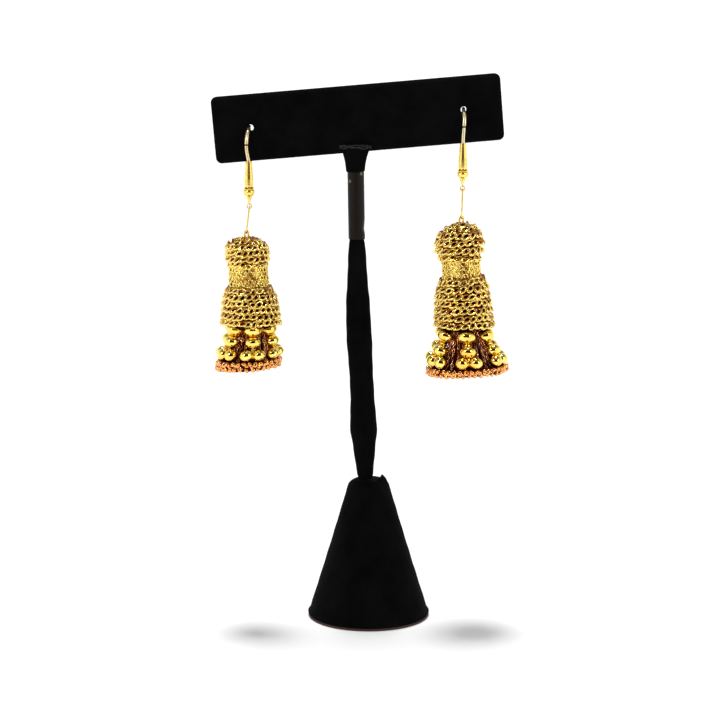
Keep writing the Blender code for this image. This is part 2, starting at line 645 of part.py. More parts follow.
def make_inner_fringe(drop, gold):
    """A plate across the former's mouth with a hollow skirt of fine chain under it, whose locks
    stand out between the strands."""
    columns = LOCK_COLUMNS * STRANDS
    bead = drop.earring["bead"]
    top, low = plate_low(drop) + PLATE_THICK, plate_low(drop)
    mouth = mouth_radius(drop, top) - BORE_GAP
    foot = drop.hem_low + drop.fringe_height * drop.earring["hem_height"]
    (first, first_height), (second, second_height), (third, _) = (strand_row(drop, row) for row in range(3))
    waist = first - LONG_BEAD_RADIUS * bead - SEAT_GAP

    def ring(core, lock, height):
        points = []
        for column in range(columns):
            angle = strand_angle(drop, 0.5) + 2 * pi * column / columns
            radius = lock if column % LOCK_COLUMNS == 0 else core
            points.append(Vector((radius * sin(angle), -radius * cos(angle), height)))
        return points

    first_low = first_height - LONG_BEAD_HEIGHT * bead / 2
    hip = second - ROUND_BEAD_RADIUS * bead - SEAT_GAP
    skirt = third - 2 * SMALL_BEAD_RADIUS * bead
    rings = [ring(mouth, mouth, top), ring(mouth, mouth, low),
             ring(waist, min(first, mouth - SEAT_GAP), low),
             ring(waist, first, first_low), ring(hip, second, second_height - ROUND_BEAD_HEIGHT * bead / 2),
             ring(skirt, third, foot), ring(skirt - SKIRT_WALL, skirt - SKIRT_WALL, foot),
             ring(waist - SKIRT_WALL, waist - SKIRT_WALL, first_low)]
    drop.add("inner_fringe", rings_to_shape(rings), gold)


def make_hem(drop, gold):
    """The band of tiny beads round the lower edge, scalloped bead by bead."""
    height = drop.fringe_height * drop.earring["hem_height"]
    rows = [(drop.hem_radius - HEM_THICK * depth, drop.hem_low + height * rise)
            for depth, rise in HEM_SECTION]
    points, faces = turned(rows, HEM_SIDES, closed=True)
    scalloped = [Vector((point.x * HEM_SCALLOP, point.y * HEM_SCALLOP, point.z)) if k % 2 else point
                 for k, point in enumerate(points)]
    drop.add("hem_beads", (scalloped, faces), gold)


def make_earring(side, gold, dark_gold):
    earring = EARRINGS[side]
    make_hook(side, earring, gold)
    make_threaded(side, earring, gold)
    drop = Drop(side, earring)
    make_link(drop, gold)
    make_former(drop, dark_gold)
    make_windings(drop, gold)
    make_neck(drop, gold)
    make_inner_fringe(drop, dark_gold)
    for index in range(STRANDS):
        make_strand(drop, index, gold)
    make_hem(drop, dark_gold)


def main():
    for old in list(bpy.data.objects):
        bpy.data.objects.remove(old, do_unlink=True)
    velvet = material("black_velvet", (0.008, 0.008, 0.009), 0.95, 0.0)
    plastic = material("dark_plastic", (0.03, 0.027, 0.02), 0.45, 0.0)
    gold = material("gold", (0.83, 0.6, 0.17), 0.25, 1.0)
    dark_gold = material("worn_gold", (0.5, 0.25, 0.07), 0.4, 1.0)
    make_base(velvet)
    make_post(plastic)
    make_sleeve(velvet)
    make_clip(velvet)
    make_bar(velvet)
    for side in EARRINGS:
        make_earring(side, gold, dark_gold)


main()
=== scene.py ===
import json
import random
from math import copysign, cos, hypot, pi, radians, sin, sqrt

import bpy
import numpy as np
from mathutils import Matrix, Vector


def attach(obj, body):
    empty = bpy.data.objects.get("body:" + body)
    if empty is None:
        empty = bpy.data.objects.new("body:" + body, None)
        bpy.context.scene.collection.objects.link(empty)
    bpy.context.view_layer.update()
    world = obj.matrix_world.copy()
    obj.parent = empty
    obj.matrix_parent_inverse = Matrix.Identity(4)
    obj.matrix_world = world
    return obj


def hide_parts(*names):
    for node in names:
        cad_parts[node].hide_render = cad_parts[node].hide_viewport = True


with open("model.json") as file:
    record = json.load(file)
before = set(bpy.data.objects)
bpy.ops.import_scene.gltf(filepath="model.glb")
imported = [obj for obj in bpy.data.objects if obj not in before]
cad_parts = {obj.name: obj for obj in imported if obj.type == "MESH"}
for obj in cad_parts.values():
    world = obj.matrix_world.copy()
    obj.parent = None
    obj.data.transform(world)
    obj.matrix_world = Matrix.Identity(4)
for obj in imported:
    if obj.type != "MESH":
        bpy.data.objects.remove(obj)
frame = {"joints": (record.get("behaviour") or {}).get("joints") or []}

random.seed(7)
mm = 0.001
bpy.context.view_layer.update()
finishes = {}

# shaders


class Signal:
    # a socket; arithmetic on it adds Math nodes
    def __init__(self, recipe, socket):
        self.recipe, self.socket = recipe, socket

    def math(self, operation, *values):
        return self.recipe.node("ShaderNodeMath", {"operation": operation}, dict(enumerate(values)))

    def __add__(self, other):
        return self.math("ADD", self, other)

    def __sub__(self, other):
        return self.math("SUBTRACT", self, other)

    def __rsub__(self, other):
        return self.math("SUBTRACT", other, self)

    def __mul__(self, other):
        return self.math("MULTIPLY", self, other)

    def __truediv__(self, other):
        return self.math("DIVIDE", self, other)

    __radd__ = __add__
    __rmul__ = __mul__

    def clamped(self, low=0.0, high=1.0):
        return self.math("MINIMUM", self.math("MAXIMUM", self, low), high)


class Recipe:
    # a material and the nodes that feed its shader
    def __init__(self, name, **fixed):
        self.material = bpy.data.materials.new(name)
        self.material.use_nodes = True
        self.tree = self.material.node_tree
        self.shader = self.tree.nodes["Principled BSDF"]
        for socket, value in fixed.items():
            self.shader.inputs[socket.replace("_", " ")].default_value = value

    def node(self, kind, settings=None, values=None, output=0):
        made = self.tree.nodes.new(kind)
        for key, value in (settings or {}).items():
            if key == "stops":
                ramp = made.color_ramp
                while len(ramp.elements) < len(value):
                    ramp.elements.new(0.5)
                for element, (place, colour) in zip(ramp.elements, value):
                    element.position, element.color = place, (*colour, 1.0)
            else:
                setattr(made, key, value)
        for key, value in (values or {}).items():
            if isinstance(value, Signal):
                self.tree.links.new(value.socket, made.inputs[key])
            else:
                made.inputs[key].default_value = value
        return Signal(self, made.outputs[output])

    def place(self):
        return self.node("ShaderNodeTexCoord", output="Object")

    def noise(self, scale, detail=3.0, rough=0.5, where=None):
        return self.node("ShaderNodeTexNoise", None, {"Vector": where or self.place(), "Scale": scale,
                                                      "Detail": detail, "Roughness": rough}, "Fac")

    def gap(self, point):
        # how far the surface is from a point
        return self.node("ShaderNodeVectorMath", {"operation": "DISTANCE"},
                         {0: self.place(), 1: point}, "Value")

    def stretched(self, scale):
        return self.node("ShaderNodeMapping", None, {"Vector": self.place(), "Scale": scale})

    def attribute(self, name):
        return self.node("ShaderNodeAttribute", {"attribute_name": name}, output="Fac")

    def mix(self, factor, low, high):
        low, high = [(*c, 1.0) if isinstance(c, tuple) else c for c in (low, high)]
        return self.node("ShaderNodeMix", {"data_type": "RGBA"}, {0: factor, 6: low, 7: high}, 2)

    def bump(self, height, strength, distance):
        return self.node("ShaderNodeBump", None,
                         {"Height": height, "Strength": strength, "Distance": distance})

    def feed(self, **signals):
        for socket, signal in signals.items():
            self.tree.links.new(signal.socket, self.shader.inputs[socket.replace("_", " ")])
        return self.material


# stain noise for the gold; the last share sets how strong the painted dark reflection at the front of each
# neck is
tarnishAndReflection = {"patches": 700, "patchShare": 3.2, "zones": 170, "zoneShare": 2.4, "reflectionShare": 1.1, "grain": 2600,
           "relief": 0.04 * mm}    # noise scales, and how much each adds to the stain


def goldFinish(name, bright, deep, wear, roughness, grain=0.1, relief=0.25, innerShade=0.0, darkReflection=()):
    # polished gold with a random brown stain on some links; it can also paint shade on the link sides that
    # face the core, and a dark reflection round given points
    gold = Recipe(name, Metallic=1.0)
    patches = gold.noise(tarnishAndReflection["patches"], 4, 0.6)
    zones = gold.noise(tarnishAndReflection["zones"], 2)
    stainAndShade = ((patches - 0.45) * tarnishAndReflection["patchShare"] + (zones - 0.5) * tarnishAndReflection["zoneShare"]
             + (gold.attribute("tone") - 0.3) * wear)
    # painted shade: each link darker on its side towards the core
    if innerShade:
        stainAndShade = stainAndShade + (gold.attribute("inner") - 0.5) * innerShade
    # painted dark reflection: darker round each given point, fading over its reach
    for point, reach in darkReflection:
        stainAndShade = stainAndShade + (1 - gold.gap(point) / reach).clamped() * tarnishAndReflection["reflectionShare"]
    stainAndShade = stainAndShade.clamped()
    fine = gold.noise(tarnishAndReflection["grain"], 2)
    return gold.feed(Base_Color=gold.mix(stainAndShade, bright, deep),
                     Roughness=fine * grain + (stainAndShade * grain + roughness),
                     Normal=gold.bump(fine + patches * 2, relief, tarnishAndReflection["relief"]))


def makeFinishes():
    finishes["gold"] = goldFinish("polished_gold", (1.0, 0.76, 0.2), (0.8, 0.48, 0.08), 0.3, 0.2, 0.1)
    finishes["wire"] = goldFinish("pale_gold", (1.0, 0.88, 0.56), (0.95, 0.72, 0.34), 0.3, 0.3, 0.1)
    finishes["beads"] = goldFinish("bead_gold", (1.0, 0.79, 0.2), (0.92, 0.54, 0.08), 0.1, 0.02, 0.03, 0.06)
    # the chains, the neck mesh and the hem beads get painted shade on the sides that face the core
    finishes["chain"] = goldFinish("chain_gold", (1.0, 0.72, 0.19), (0.38, 0.11, 0.018), 1.0, 0.05, innerShade=2.8)
    # the neck mesh also gets a painted dark reflection at the front of each neck
    finishes["mesh"] = goldFinish("mesh_gold", (1.0, 0.79, 0.2), (0.46, 0.2, 0.022), 0.9, 0.08, innerShade=2.6,
                                  darkReflection=[(Drop(side).neckFront(), plan["darkReflection"])
                                          for side, plan in earringPlans.items()])
    # redder, darker gold for the hem beads: partly their own colour, partly painted shade of the underside
    finishes["shadedHemGold"] = goldFinish("worn_gold", (0.95, 0.43, 0.13), (0.2, 0.026, 0.008), 1.2, 0.08, innerShade=2.6)
    # dark red-brown gold for parts deep between others: painted shade
    finishes["recessShade"] = goldFinish("recess_shade_gold", (1.0, 0.46, 0.22), (0.18, 0.024, 0.01), 1.2, 0.1)
    # near-black brown: painted shade on the former behind the chains, on the fringe backing and on the hem's
    # core; the same dark serves the band on the ear wire and the dark card
    finishes["hollow"] = goldFinish("shade_near_black", (0.055, 0.009, 0.004), (0.014, 0.002, 0.001), 0.4, 0.4)

    velvet = Recipe("black_velvet", Metallic=0.0, Sheen_Weight=0.006, Sheen_Roughness=0.35,
                    Specular_IOR_Level=0.02)
    pile = velvet.noise(5200, 3, 0.7)
    brushed = velvet.noise(160, 3)
    finishes["velvet"] = velvet.feed(
        Base_Color=velvet.mix((pile * 0.9 + brushed * 1.1 - 0.55).clamped(), (0.0005, 0.0005, 0.0005),
                              (0.0042, 0.004, 0.0042)),
        Roughness=pile * 0.15 + 0.82, Normal=velvet.bump(pile + brushed * 2, 0.6, 0.00012))

    tube = Recipe("tube_plastic", Metallic=0.0, Specular_IOR_Level=0.14)
    grain = tube.noise(900, 3)
    marks = [(1 - tube.gap(mark) / standPost["markRadius"]).clamped() for mark in standPost["marks"]]
    scuff = ((marks[0] + marks[1]) * (grain + 0.5)).clamped()
    streak = tube.noise(1, 2, where=tube.stretched((700, 700, 12)))
    bare = tube.mix(streak, (0.0008, 0.0009, 0.0005), (0.011, 0.005, 0.003))
    finishes["plastic"] = tube.feed(Base_Color=tube.mix(scuff, bare, (0.3, 0.28, 0.2)),
                                    Roughness=grain * 0.2 + 0.36, Normal=tube.bump(grain, 0.3, 0.00006))

    rim = Recipe("pale_rim", Metallic=0.0)
    fray = rim.noise(1800, 4)
    finishes["rim"] = rim.feed(Base_Color=rim.mix(fray, (0.001, 0.0008, 0.0006), (0.02, 0.016, 0.01)),
                               Roughness=fray * 0.2 + 0.6, Normal=rim.bump(fray, 0.5, 0.0001))

    board = Recipe("foot_board", Metallic=0.0)
    speck = board.noise(2400, 3)
    finishes["board"] = board.feed(Base_Color=board.mix(speck, (0.012, 0.003, 0.002), (0.08, 0.026, 0.02)),
                                   Roughness=speck * 0.2 + 0.7)

    paper = Recipe("studio_paper", Metallic=0.0, Specular_IOR_Level=0.1)
    cloud = paper.noise(9, 2)
    finishes["paper"] = paper.feed(Base_Color=paper.mix(cloud, (0.75, 0.75, 0.755), (0.78, 0.78, 0.785)),
                                   Roughness=cloud * 0.1 + 0.85)
    print("finishes made")


# modelling


def onlySelect(*pieces):
    bpy.ops.object.select_all(action="DESELECT")
    for piece in pieces:
        piece.select_set(True)
    bpy.context.view_layer.objects.active = pieces[0]


def settle(piece, name):
    # the place goes into the mesh, and the object to the origin
    piece.name = name
    onlySelect(piece)
    bpy.ops.object.transform_apply(location=True, rotation=True, scale=True)
    return piece


def smoothed(piece, angle=40):
    onlySelect(piece)
    bpy.ops.object.shade_smooth_by_angle(angle=radians(angle))
    return piece


def joined(pieces, name):
    onlySelect(*pieces)
    if len(pieces) > 1:
        bpy.ops.object.join()
    return settle(bpy.context.object, name)


def cleanFaces(piece):
    onlySelect(piece)
    bpy.ops.object.mode_set(mode="EDIT")
    bpy.ops.mesh.select_all(action="SELECT")
    bpy.ops.mesh.remove_doubles(threshold=1e-6)
    bpy.ops.mesh.normals_make_consistent(inside=False)
    bpy.ops.object.mode_set(mode="OBJECT")
    return piece


def applied(piece, kind, **settings):
    onlySelect(piece)
    modifier = piece.modifiers.new(kind.lower(), kind)
    for key, value in settings.items():
        setattr(modifier, key, value)
    bpy.ops.object.modifier_apply(modifier=modifier.name)
    return piece


def fresh(add, **settings):
    # a new primitive, with nothing else selected
    bpy.ops.object.select_all(action="DESELECT")
    add(**settings)
    return bpy.context.object


def ringStack(name, rings, sides, hollow=False):
    # a circle extruded ring by ring; each row is x, y, z and radius, or radius across and in depth
    piece = fresh(bpy.ops.mesh.primitive_circle_add, vertices=sides, radius=1.0, location=(0, 0, 0))
    bpy.ops.object.mode_set(mode="EDIT")
    bpy.ops.mesh.select_all(action="SELECT")
    before = Vector((0.0, 0.0, 0.0))
    wide, deep = 1.0, 1.0
    for row, (x, y, z, *radii) in enumerate(rings):
        if row:
            bpy.ops.mesh.extrude_region_move()
        here = Vector((x, y, z))
        bpy.ops.transform.translate(value=here - before)
        bpy.ops.transform.resize(value=(radii[0] / wide, radii[-1] / deep, 1.0), center_override=here)
        before, wide, deep = here, radii[0], radii[-1]
    bpy.ops.mesh.select_all(action="DESELECT")
    bpy.ops.mesh.select_non_manifold()
    if hollow:
        bpy.ops.mesh.bridge_edge_loops()
    else:
        bpy.ops.mesh.fill_holes(sides=0)
    bpy.ops.mesh.select_all(action="SELECT")
    bpy.ops.mesh.normals_make_consistent(inside=False)
    bpy.ops.object.mode_set(mode="OBJECT")
    return smoothed(settle(piece, name))


def wire(name, points, radii, closed=False):
    curve = bpy.data.curves.new(name, "CURVE")
    curve.dimensions = "3D"
    curve.bevel_depth, curve.bevel_resolution, curve.use_fill_caps = 1.0, 3, True
    spline = curve.splines.new("POLY")
    spline.points.add(len(points) - 1)
    spline.use_cyclic_u = closed
    for knot, point, radius in zip(spline.points, points, radii):
        knot.co, knot.radius = (*point, 1.0), radius
    made = bpy.data.objects.new(name, curve)
    bpy.context.scene.collection.objects.link(made)
    onlySelect(made)
    bpy.ops.object.convert(target="MESH")
    return smoothed(cleanFaces(bpy.context.object), 50)


def ballPattern(sides, rings):
    return fresh(bpy.ops.mesh.primitive_uv_sphere_add, segments=sides, ring_count=rings, radius=1.0,
                 location=(0, 0, 0))


def linkPattern(length, width, thick, segments=12, sides=5):
    # one oval link of chain, its length along X
    piece = fresh(bpy.ops.mesh.primitive_torus_add, major_segments=segments, minor_segments=sides,
                  major_radius=width - thick, minor_radius=thick, location=(0, 0, 0))
    bpy.ops.object.mode_set(mode="EDIT")
    bpy.ops.mesh.select_all(action="SELECT")
    bpy.ops.transform.resize(value=(length / width, 1.0, 1.0), center_override=(0, 0, 0))
    bpy.ops.object.mode_set(mode="OBJECT")
    return piece


def copies(name, pattern, places, middle):
    # one mesh of many copies of a small shape round an axis, each with its own tone
    mesh = pattern.data
    points = np.array([vertex.co for vertex in mesh.vertices])
    faces = [tuple(face.vertices) for face in mesh.polygons]
    count = len(points)
    placed, allFaces, tones, inner = [], [], [], []
    for index, place in enumerate(places):
        matrix = np.array(place)
        placed.append(points @ matrix[:3, :3].T + matrix[:3, 3])
        # inner: how far each vertex lies towards the axis; finishes paint shade on that side
        outward = (matrix[:3, 3] - np.array(middle)) * (1, 1, 0)
        reach = (placed[-1] - matrix[:3, 3]) @ outward / max(np.linalg.norm(outward), 1e-6)
        inner.append(0.5 - reach / (2 * max(np.abs(reach).max(), 1e-6)))    # 1 at the side next to the axis
        allFaces += [tuple(corner + index * count for corner in face) for face in faces]
        tones += [random.random()] * count
    made = bpy.data.meshes.new(name)
    made.from_pydata(np.concatenate(placed).tolist(), [], allFaces)
    made.shade_smooth()
    made.attributes.new("tone", "FLOAT", "POINT").data.foreach_set("value", tones)
    made.attributes.new("inner", "FLOAT", "POINT").data.foreach_set("value", np.concatenate(inner))
    piece = bpy.data.objects.new(name, made)
    bpy.context.scene.collection.objects.link(piece)
    bpy.data.objects.remove(pattern)
    return piece


def axes(place, along, up):
    # a matrix at a place whose X runs along and whose Z is nearest to up
    along = along.normalized()
    side = up.cross(along).normalized()
    up = along.cross(side)
    matrix = Matrix((along, side, up)).transposed().to_4x4()
    matrix.translation = place
    return matrix


def give(piece, finish, body, slot, *nodes):
    piece.data.materials.clear()
    piece.data.materials.append(finishes[finish])
    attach(piece, body)
    if nodes:
        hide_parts(*nodes)
    return piece


def around(angle, reach=1.0, height=0.0):
    # a place round an upright axis, its angle counted from the front
    return Vector((reach * sin(angle), -reach * cos(angle), height))


def clamped(value, low=0.0, high=1.0):
    return min(max(value, low), high)


def squared(value, power):
    # bends a circle's sine or cosine towards a square's
    return copysign(abs(value) ** power, value)


def smoothRead(line, share):
    # a smooth curve through a table's (share, value) rows
    rows = len(line)
    row = next((k for k in range(rows - 1) if share <= line[k + 1][0]), rows - 2)
    (x0, y0), (x1, y1) = line[row], line[row + 1]
    xa, ya = line[max(row - 1, 0)]
    xb, yb = line[min(row + 2, rows - 1)]
    slope0, slope1, width = (y1 - ya) / (x1 - xa), (yb - y0) / (xb - x0), x1 - x0
    t = clamped((share - x0) / width)
    return ((2 * t**3 - 3 * t**2 + 1) * y0 + (t**3 - 2 * t**2 + t) * width * slope0
            + (3 * t**2 - 2 * t**3) * y1 + (t**3 - t**2) * width * slope1)


# the stand; lengths in metres, lines as (share, share) rows

standCone = {"height": 38.5 * mm, "footRadius": 16.9 * mm, "topRadius": 5.2 * mm, "board": 0.7 * mm,
             "shoulder": 1.7 * mm, "sag": 0.12 * mm, "socketFit": 0.15 * mm, "socketDepth": 2.0 * mm,
             "crease": 0.04 * mm, "ripple": 0.03 * mm, "sides": 96}
clothPeak = {"place": Vector((3.4 * mm, -0.8 * mm, 38.0 * mm)), "reach": 2.2 * mm, "fade": 3.0 * mm,
             "aside": 0.4 * mm, "rise": 1.9 * mm}


def makeCone():
    cone, peak = standCone, clothPeak
    low, top, edge = cone["board"], cone["height"], cone["footRadius"]
    slope = (edge - cone["topRadius"]) / top
    rings = [(0, 0, low + up * mm, edge - inset * mm) for up, inset in ((0, 0.9), (0.05, 0.25), (0.35, 0.05))]
    steps = 30
    for k in range(1, steps):
        z = low + (top - cone["shoulder"] - low) * k / steps
        rings.append((0, 0, z, edge - slope * z - cone["sag"] * sin(pi * k / steps)))
    for angle in (10, 30, 50, 70, 84):
        inward = cone["shoulder"] * (1 - cos(radians(angle)))
        below = cone["shoulder"] * (1 - sin(radians(angle)))
        rings.append((0, 0, top - below, cone["topRadius"] - inward + slope * below))
    rings += [(0, 0, top + 0.02 * mm, radius * mm) for radius in (3.9, 3.4, 2.9, 2.4)]
    socket = standPost["stem"] + cone["socketFit"]
    rings += [(postX(top), 0, z, socket) for z in (top, top - cone["socketDepth"])]
    piece = ringStack("velvetCone", rings, cone["sides"])
    # soft creases where the cloth is drawn round, and a peak of cloth at the right of the shoulder
    for vertex in piece.data.vertices:
        x, y, z = vertex.co
        radius = hypot(x, y)
        if radius > 3 * mm and z > 1.2 * mm:
            push = (cone["crease"] * sin(z / mm + 3 * x / radius)
                    + cone["ripple"] * sin(21 * y / radius + z / mm))
            away = vertex.co - peak["place"]
            near = max(0.0, 1 - away.xy.length / peak["reach"]) * max(0.0, 1 - abs(away.z) / peak["fade"])
            vertex.co.x += x / radius * push + peak["aside"] * near
            vertex.co.y += y / radius * push
            vertex.co.z += peak["rise"] * near
    give(piece, "velvet", "root", "velvet_over_weight", "stand_base")
    rim = ((0, 0.5), (0.05 * mm, 0.25), (low - 0.05 * mm, 0.15), (low - 0.01 * mm, 0.9))
    board = ringStack("footBoard", [(0, 0, z, edge - inset * mm) for z, inset in rim], cone["sides"])
    give(board, "board", "root", "velvet_over_weight")


standPost = {"length": 89.9 * mm, "radius": 2.25 * mm, "stem": 1.2 * mm, "stemDepth": 1.5 * mm,
             "headGap": 1.1 * mm, "endShare": 0.985, "drift": 3.6 * mm, "sides": 32,
             "marks": ((-0.0053, -0.0018, 0.1206), (-0.0018, -0.0019, 0.1226)), "markRadius": 0.65 * mm,
             "line": ((0.0, 0.25), (0.25, 0.47), (0.5, 0.78), (0.75, 0.9), (1.0, 1.0))}
postDent = {"height": 108.0 * mm, "front": 0.6 * mm, "reach": 1.7 * mm, "depth": 0.5 * mm}
standSleeve = {"length": 66.1 * mm, "radius": 3.7 * mm, "bore": 1.35 * mm, "gap": 0.3 * mm,
               "rounding": 0.2 * mm, "fold": 0.09 * mm, "sides": 48,
               "line": ((0.0, 0.57), (0.07, 0.7), (0.13, 0.83), (0.2, 1.0), (0.27, 0.95), (0.42, 0.87),
                        (0.52, 0.92), (0.67, 0.92), (0.78, 0.82), (0.9, 0.68), (1.0, 0.59))}
barBottom = standCone["height"] + standPost["length"]


def postX(height):
    share = clamped((height - standCone["height"]) / standPost["length"])
    return -standPost["drift"] * smoothRead(standPost["line"], share)


def makePost():
    post, sleeve = standPost, standSleeve
    foot = standCone["height"] - post["stemDepth"]
    step = standCone["height"] + sleeve["length"] + sleeve["gap"] + 0.02 * mm
    head = barBottom - post["headGap"]
    rings = [(postX(z), 0, z, post["stem"]) for z in np.linspace(foot, step, 16)]
    for k in range(17):
        z = step + (head - step) * k / 16
        rings.append((postX(z), 0, z, post["radius"] * (post["endShare"] if k in (0, 16) else 1.0)))
    piece = ringStack("postTube", rings, post["sides"])
    # a small dent at the tube's right
    dent = Vector((postX(postDent["height"]) + post["radius"], -postDent["front"], postDent["height"]))
    for vertex in piece.data.vertices:
        vertex.co.x -= postDent["depth"] * max(0.0, 1 - (vertex.co - dent).length / postDent["reach"])
    give(piece, "plastic", "root", "post_plastic", "stand_post")

    foot = standCone["height"] + sleeve["gap"]
    steps = 60
    outer = []
    for k in range(steps + 1):
        z = foot + sleeve["length"] * k / steps
        end = sleeve["rounding"] if k in (0, steps) else 0.0
        outer.append((postX(z), 0, z, sleeve["radius"] * smoothRead(sleeve["line"], k / steps) - end))
    inner = [(postX(z), 0, z, sleeve["bore"]) for z in np.linspace(foot + sleeve["length"], foot, 10)]
    piece = ringStack("velvetSleeve", outer + inner, sleeve["sides"], hollow=True)
    for vertex in piece.data.vertices:
        x, y, z = vertex.co
        reach = hypot(x - postX(z), y)
        if reach > 1.6 * mm:
            fold = sleeve["fold"] * sin(z / mm * 0.8 + 2.0 * y / reach) * sin(z / mm * 0.23)
            vertex.co.x += (x - postX(z)) / reach * fold
            vertex.co.y += y / reach * fold
    give(piece, "velvet", "root", "black_velvet", "post_sleeve")


standBar = {"length": 77.5 * mm, "height": 17.8 * mm, "thick": 5.0 * mm, "tilt": radians(4.8),
            "shift": 0.6 * mm, "corner": 1.6 * mm, "edge": 0.7 * mm, "holeSpacing": 56.8 * mm,
            "holeRadius": 1.0 * mm, "neatHole": 0.87 * mm}
barCentre = barBottom + standBar["height"] / 2


def onBar(x, y, z):
    # from the bar's own frame to the world
    tilt = standBar["tilt"]
    return Vector((postX(barBottom) + standBar["shift"] + x * cos(tilt) - z * sin(tilt), y,
                   barCentre + x * sin(tilt) + z * cos(tilt)))


standClip = {"below": 5.4 * mm, "grip": 2.1 * mm, "foot": 2.5 * mm, "halfWidth": 4.5 * mm,
             "halfDepth": 3.7 * mm, "squaring": 0.45, "postFit": 0.15 * mm, "barFit": 0.03 * mm,
             "line": ((0.0, 0.0), (0.4, 0.2), (0.78, 0.62), (1.0, 1.0))}
clipRim = {"wire": 0.13 * mm, "strands": 3, "below": 0.3 * mm, "apart": 0.35 * mm, "fray": 0.22 * mm,
           "steps": 40}


def barSlotCutter(grow):
    cutter = fresh(bpy.ops.mesh.primitive_cube_add, size=1.0, location=onBar(0, 0, 0),
                   rotation=(0, -standBar["tilt"], 0),
                   scale=(standBar["length"], standBar["thick"] + 2 * grow, standBar["height"] + 2 * grow))
    return settle(cutter, "cutter")


def clipReach(share):
    # half the clip's width and depth at a share of its height
    widening = smoothRead(standClip["line"], share)
    return [standClip["foot"] + (half - standClip["foot"]) * widening
            for half in (standClip["halfWidth"], standClip["halfDepth"])]


def makeClip():
    clip = standClip
    x = postX(barBottom)
    foot = barBottom - clip["below"]
    height = clip["below"] + clip["grip"]
    rings = [(x, 0, foot, standPost["radius"] + 0.2 * mm), (x, 0, foot + 0.12 * mm, clip["foot"] - 0.08 * mm)]
    rings += [(x, 0, foot + height * k / 16, *clipReach(k / 16)) for k in range(1, 17)]
    piece = ringStack("barClip", rings, 64)
    for vertex in piece.data.vertices:
        share = clamped((vertex.co.z - foot) / height)
        power = 1 - clip["squaring"] * smoothRead(clip["line"], share)
        spread = Vector((vertex.co.x - x, vertex.co.y))
        wide, deep = clipReach(share)
        if share > 0.02 and spread.length > 0.5 * mm:
            vertex.co.x = x + wide * squared(spread.x / wide, power)
            vertex.co.y = deep * squared(spread.y / deep, power)
    slot = barSlotCutter(clip["barFit"])
    bore = ringStack("bore", [(postX(z), 0, z, standPost["radius"] + clip["postFit"])
                              for z in (foot - 2 * mm, barBottom - 0.8 * mm)], 32)
    for cutter in (slot, bore):
        applied(piece, "BOOLEAN", operation="DIFFERENCE", solver="EXACT", object=cutter)
        bpy.data.objects.remove(cutter)
    give(smoothed(piece, 35), "velvet", "root", "black_velvet", "bar_clip")
    # frayed edge along the front and back of the lip
    rims = []
    power = 1 - clip["squaring"]
    for way in (-1, 1):
        for strand in range(clipRim["strands"]):
            lip = barBottom + clip["grip"] - clipRim["below"] - clipRim["apart"] * strand
            points = []
            for k in range(clipRim["steps"] + 1):
                angle = pi * (0.06 + 0.88 * k / clipRim["steps"]) * way
                points.append(Vector((x + clip["halfWidth"] * squared(cos(angle), power),
                                      clip["halfDepth"] * squared(sin(angle), power),
                                      lip + random.uniform(-1, 1) * clipRim["fray"])))
            rims.append(wire("rim", points, [clipRim["wire"] * random.uniform(0.5, 1.1) for _ in points]))
    give(joined(rims, "clipRim"), "rim", "root", "black_velvet")


def makeBar():
    bar = standBar
    piece = settle(fresh(bpy.ops.mesh.primitive_cube_add, size=1.0, location=(0, 0, 0),
                         scale=(bar["length"], bar["thick"], bar["height"])), "velvetBar")
    bpy.ops.object.mode_set(mode="EDIT")
    bpy.ops.mesh.select_all(action="DESELECT")
    bpy.ops.object.mode_set(mode="OBJECT")
    for edge in piece.data.edges:
        a, b = (piece.data.vertices[k].co for k in edge.vertices)
        edge.select = abs(a.y - b.y) > bar["thick"] / 2
    bpy.ops.object.mode_set(mode="EDIT")
    bpy.ops.mesh.select_mode(type="EDGE")
    bpy.ops.mesh.bevel(offset=bar["corner"], segments=6)
    bpy.ops.object.mode_set(mode="OBJECT")
    applied(piece, "BEVEL", width=bar["edge"], segments=4, limit_method="ANGLE", angle_limit=radians(50))
    for plan in earringPlans.values():
        hole = (plan["side"] * bar["holeSpacing"] / 2 + plan["holeShift"], 0, 0)
        cutter = settle(fresh(bpy.ops.mesh.primitive_cylinder_add, vertices=28, radius=bar["neatHole"],
                              depth=bar["thick"] * 2, location=hole, rotation=(pi / 2, 0, 0)), "cutter")
        applied(piece, "BOOLEAN", operation="DIFFERENCE", solver="EXACT", object=cutter)
        bpy.data.objects.remove(cutter)
    piece.matrix_world = Matrix.Translation(onBar(0, 0, 0)) @ Matrix.Rotation(-bar["tilt"], 4, "Y")
    settle(piece, "velvetBar")
    give(smoothed(piece, 35), "velvet", "root", "black_velvet", "stand_bar")
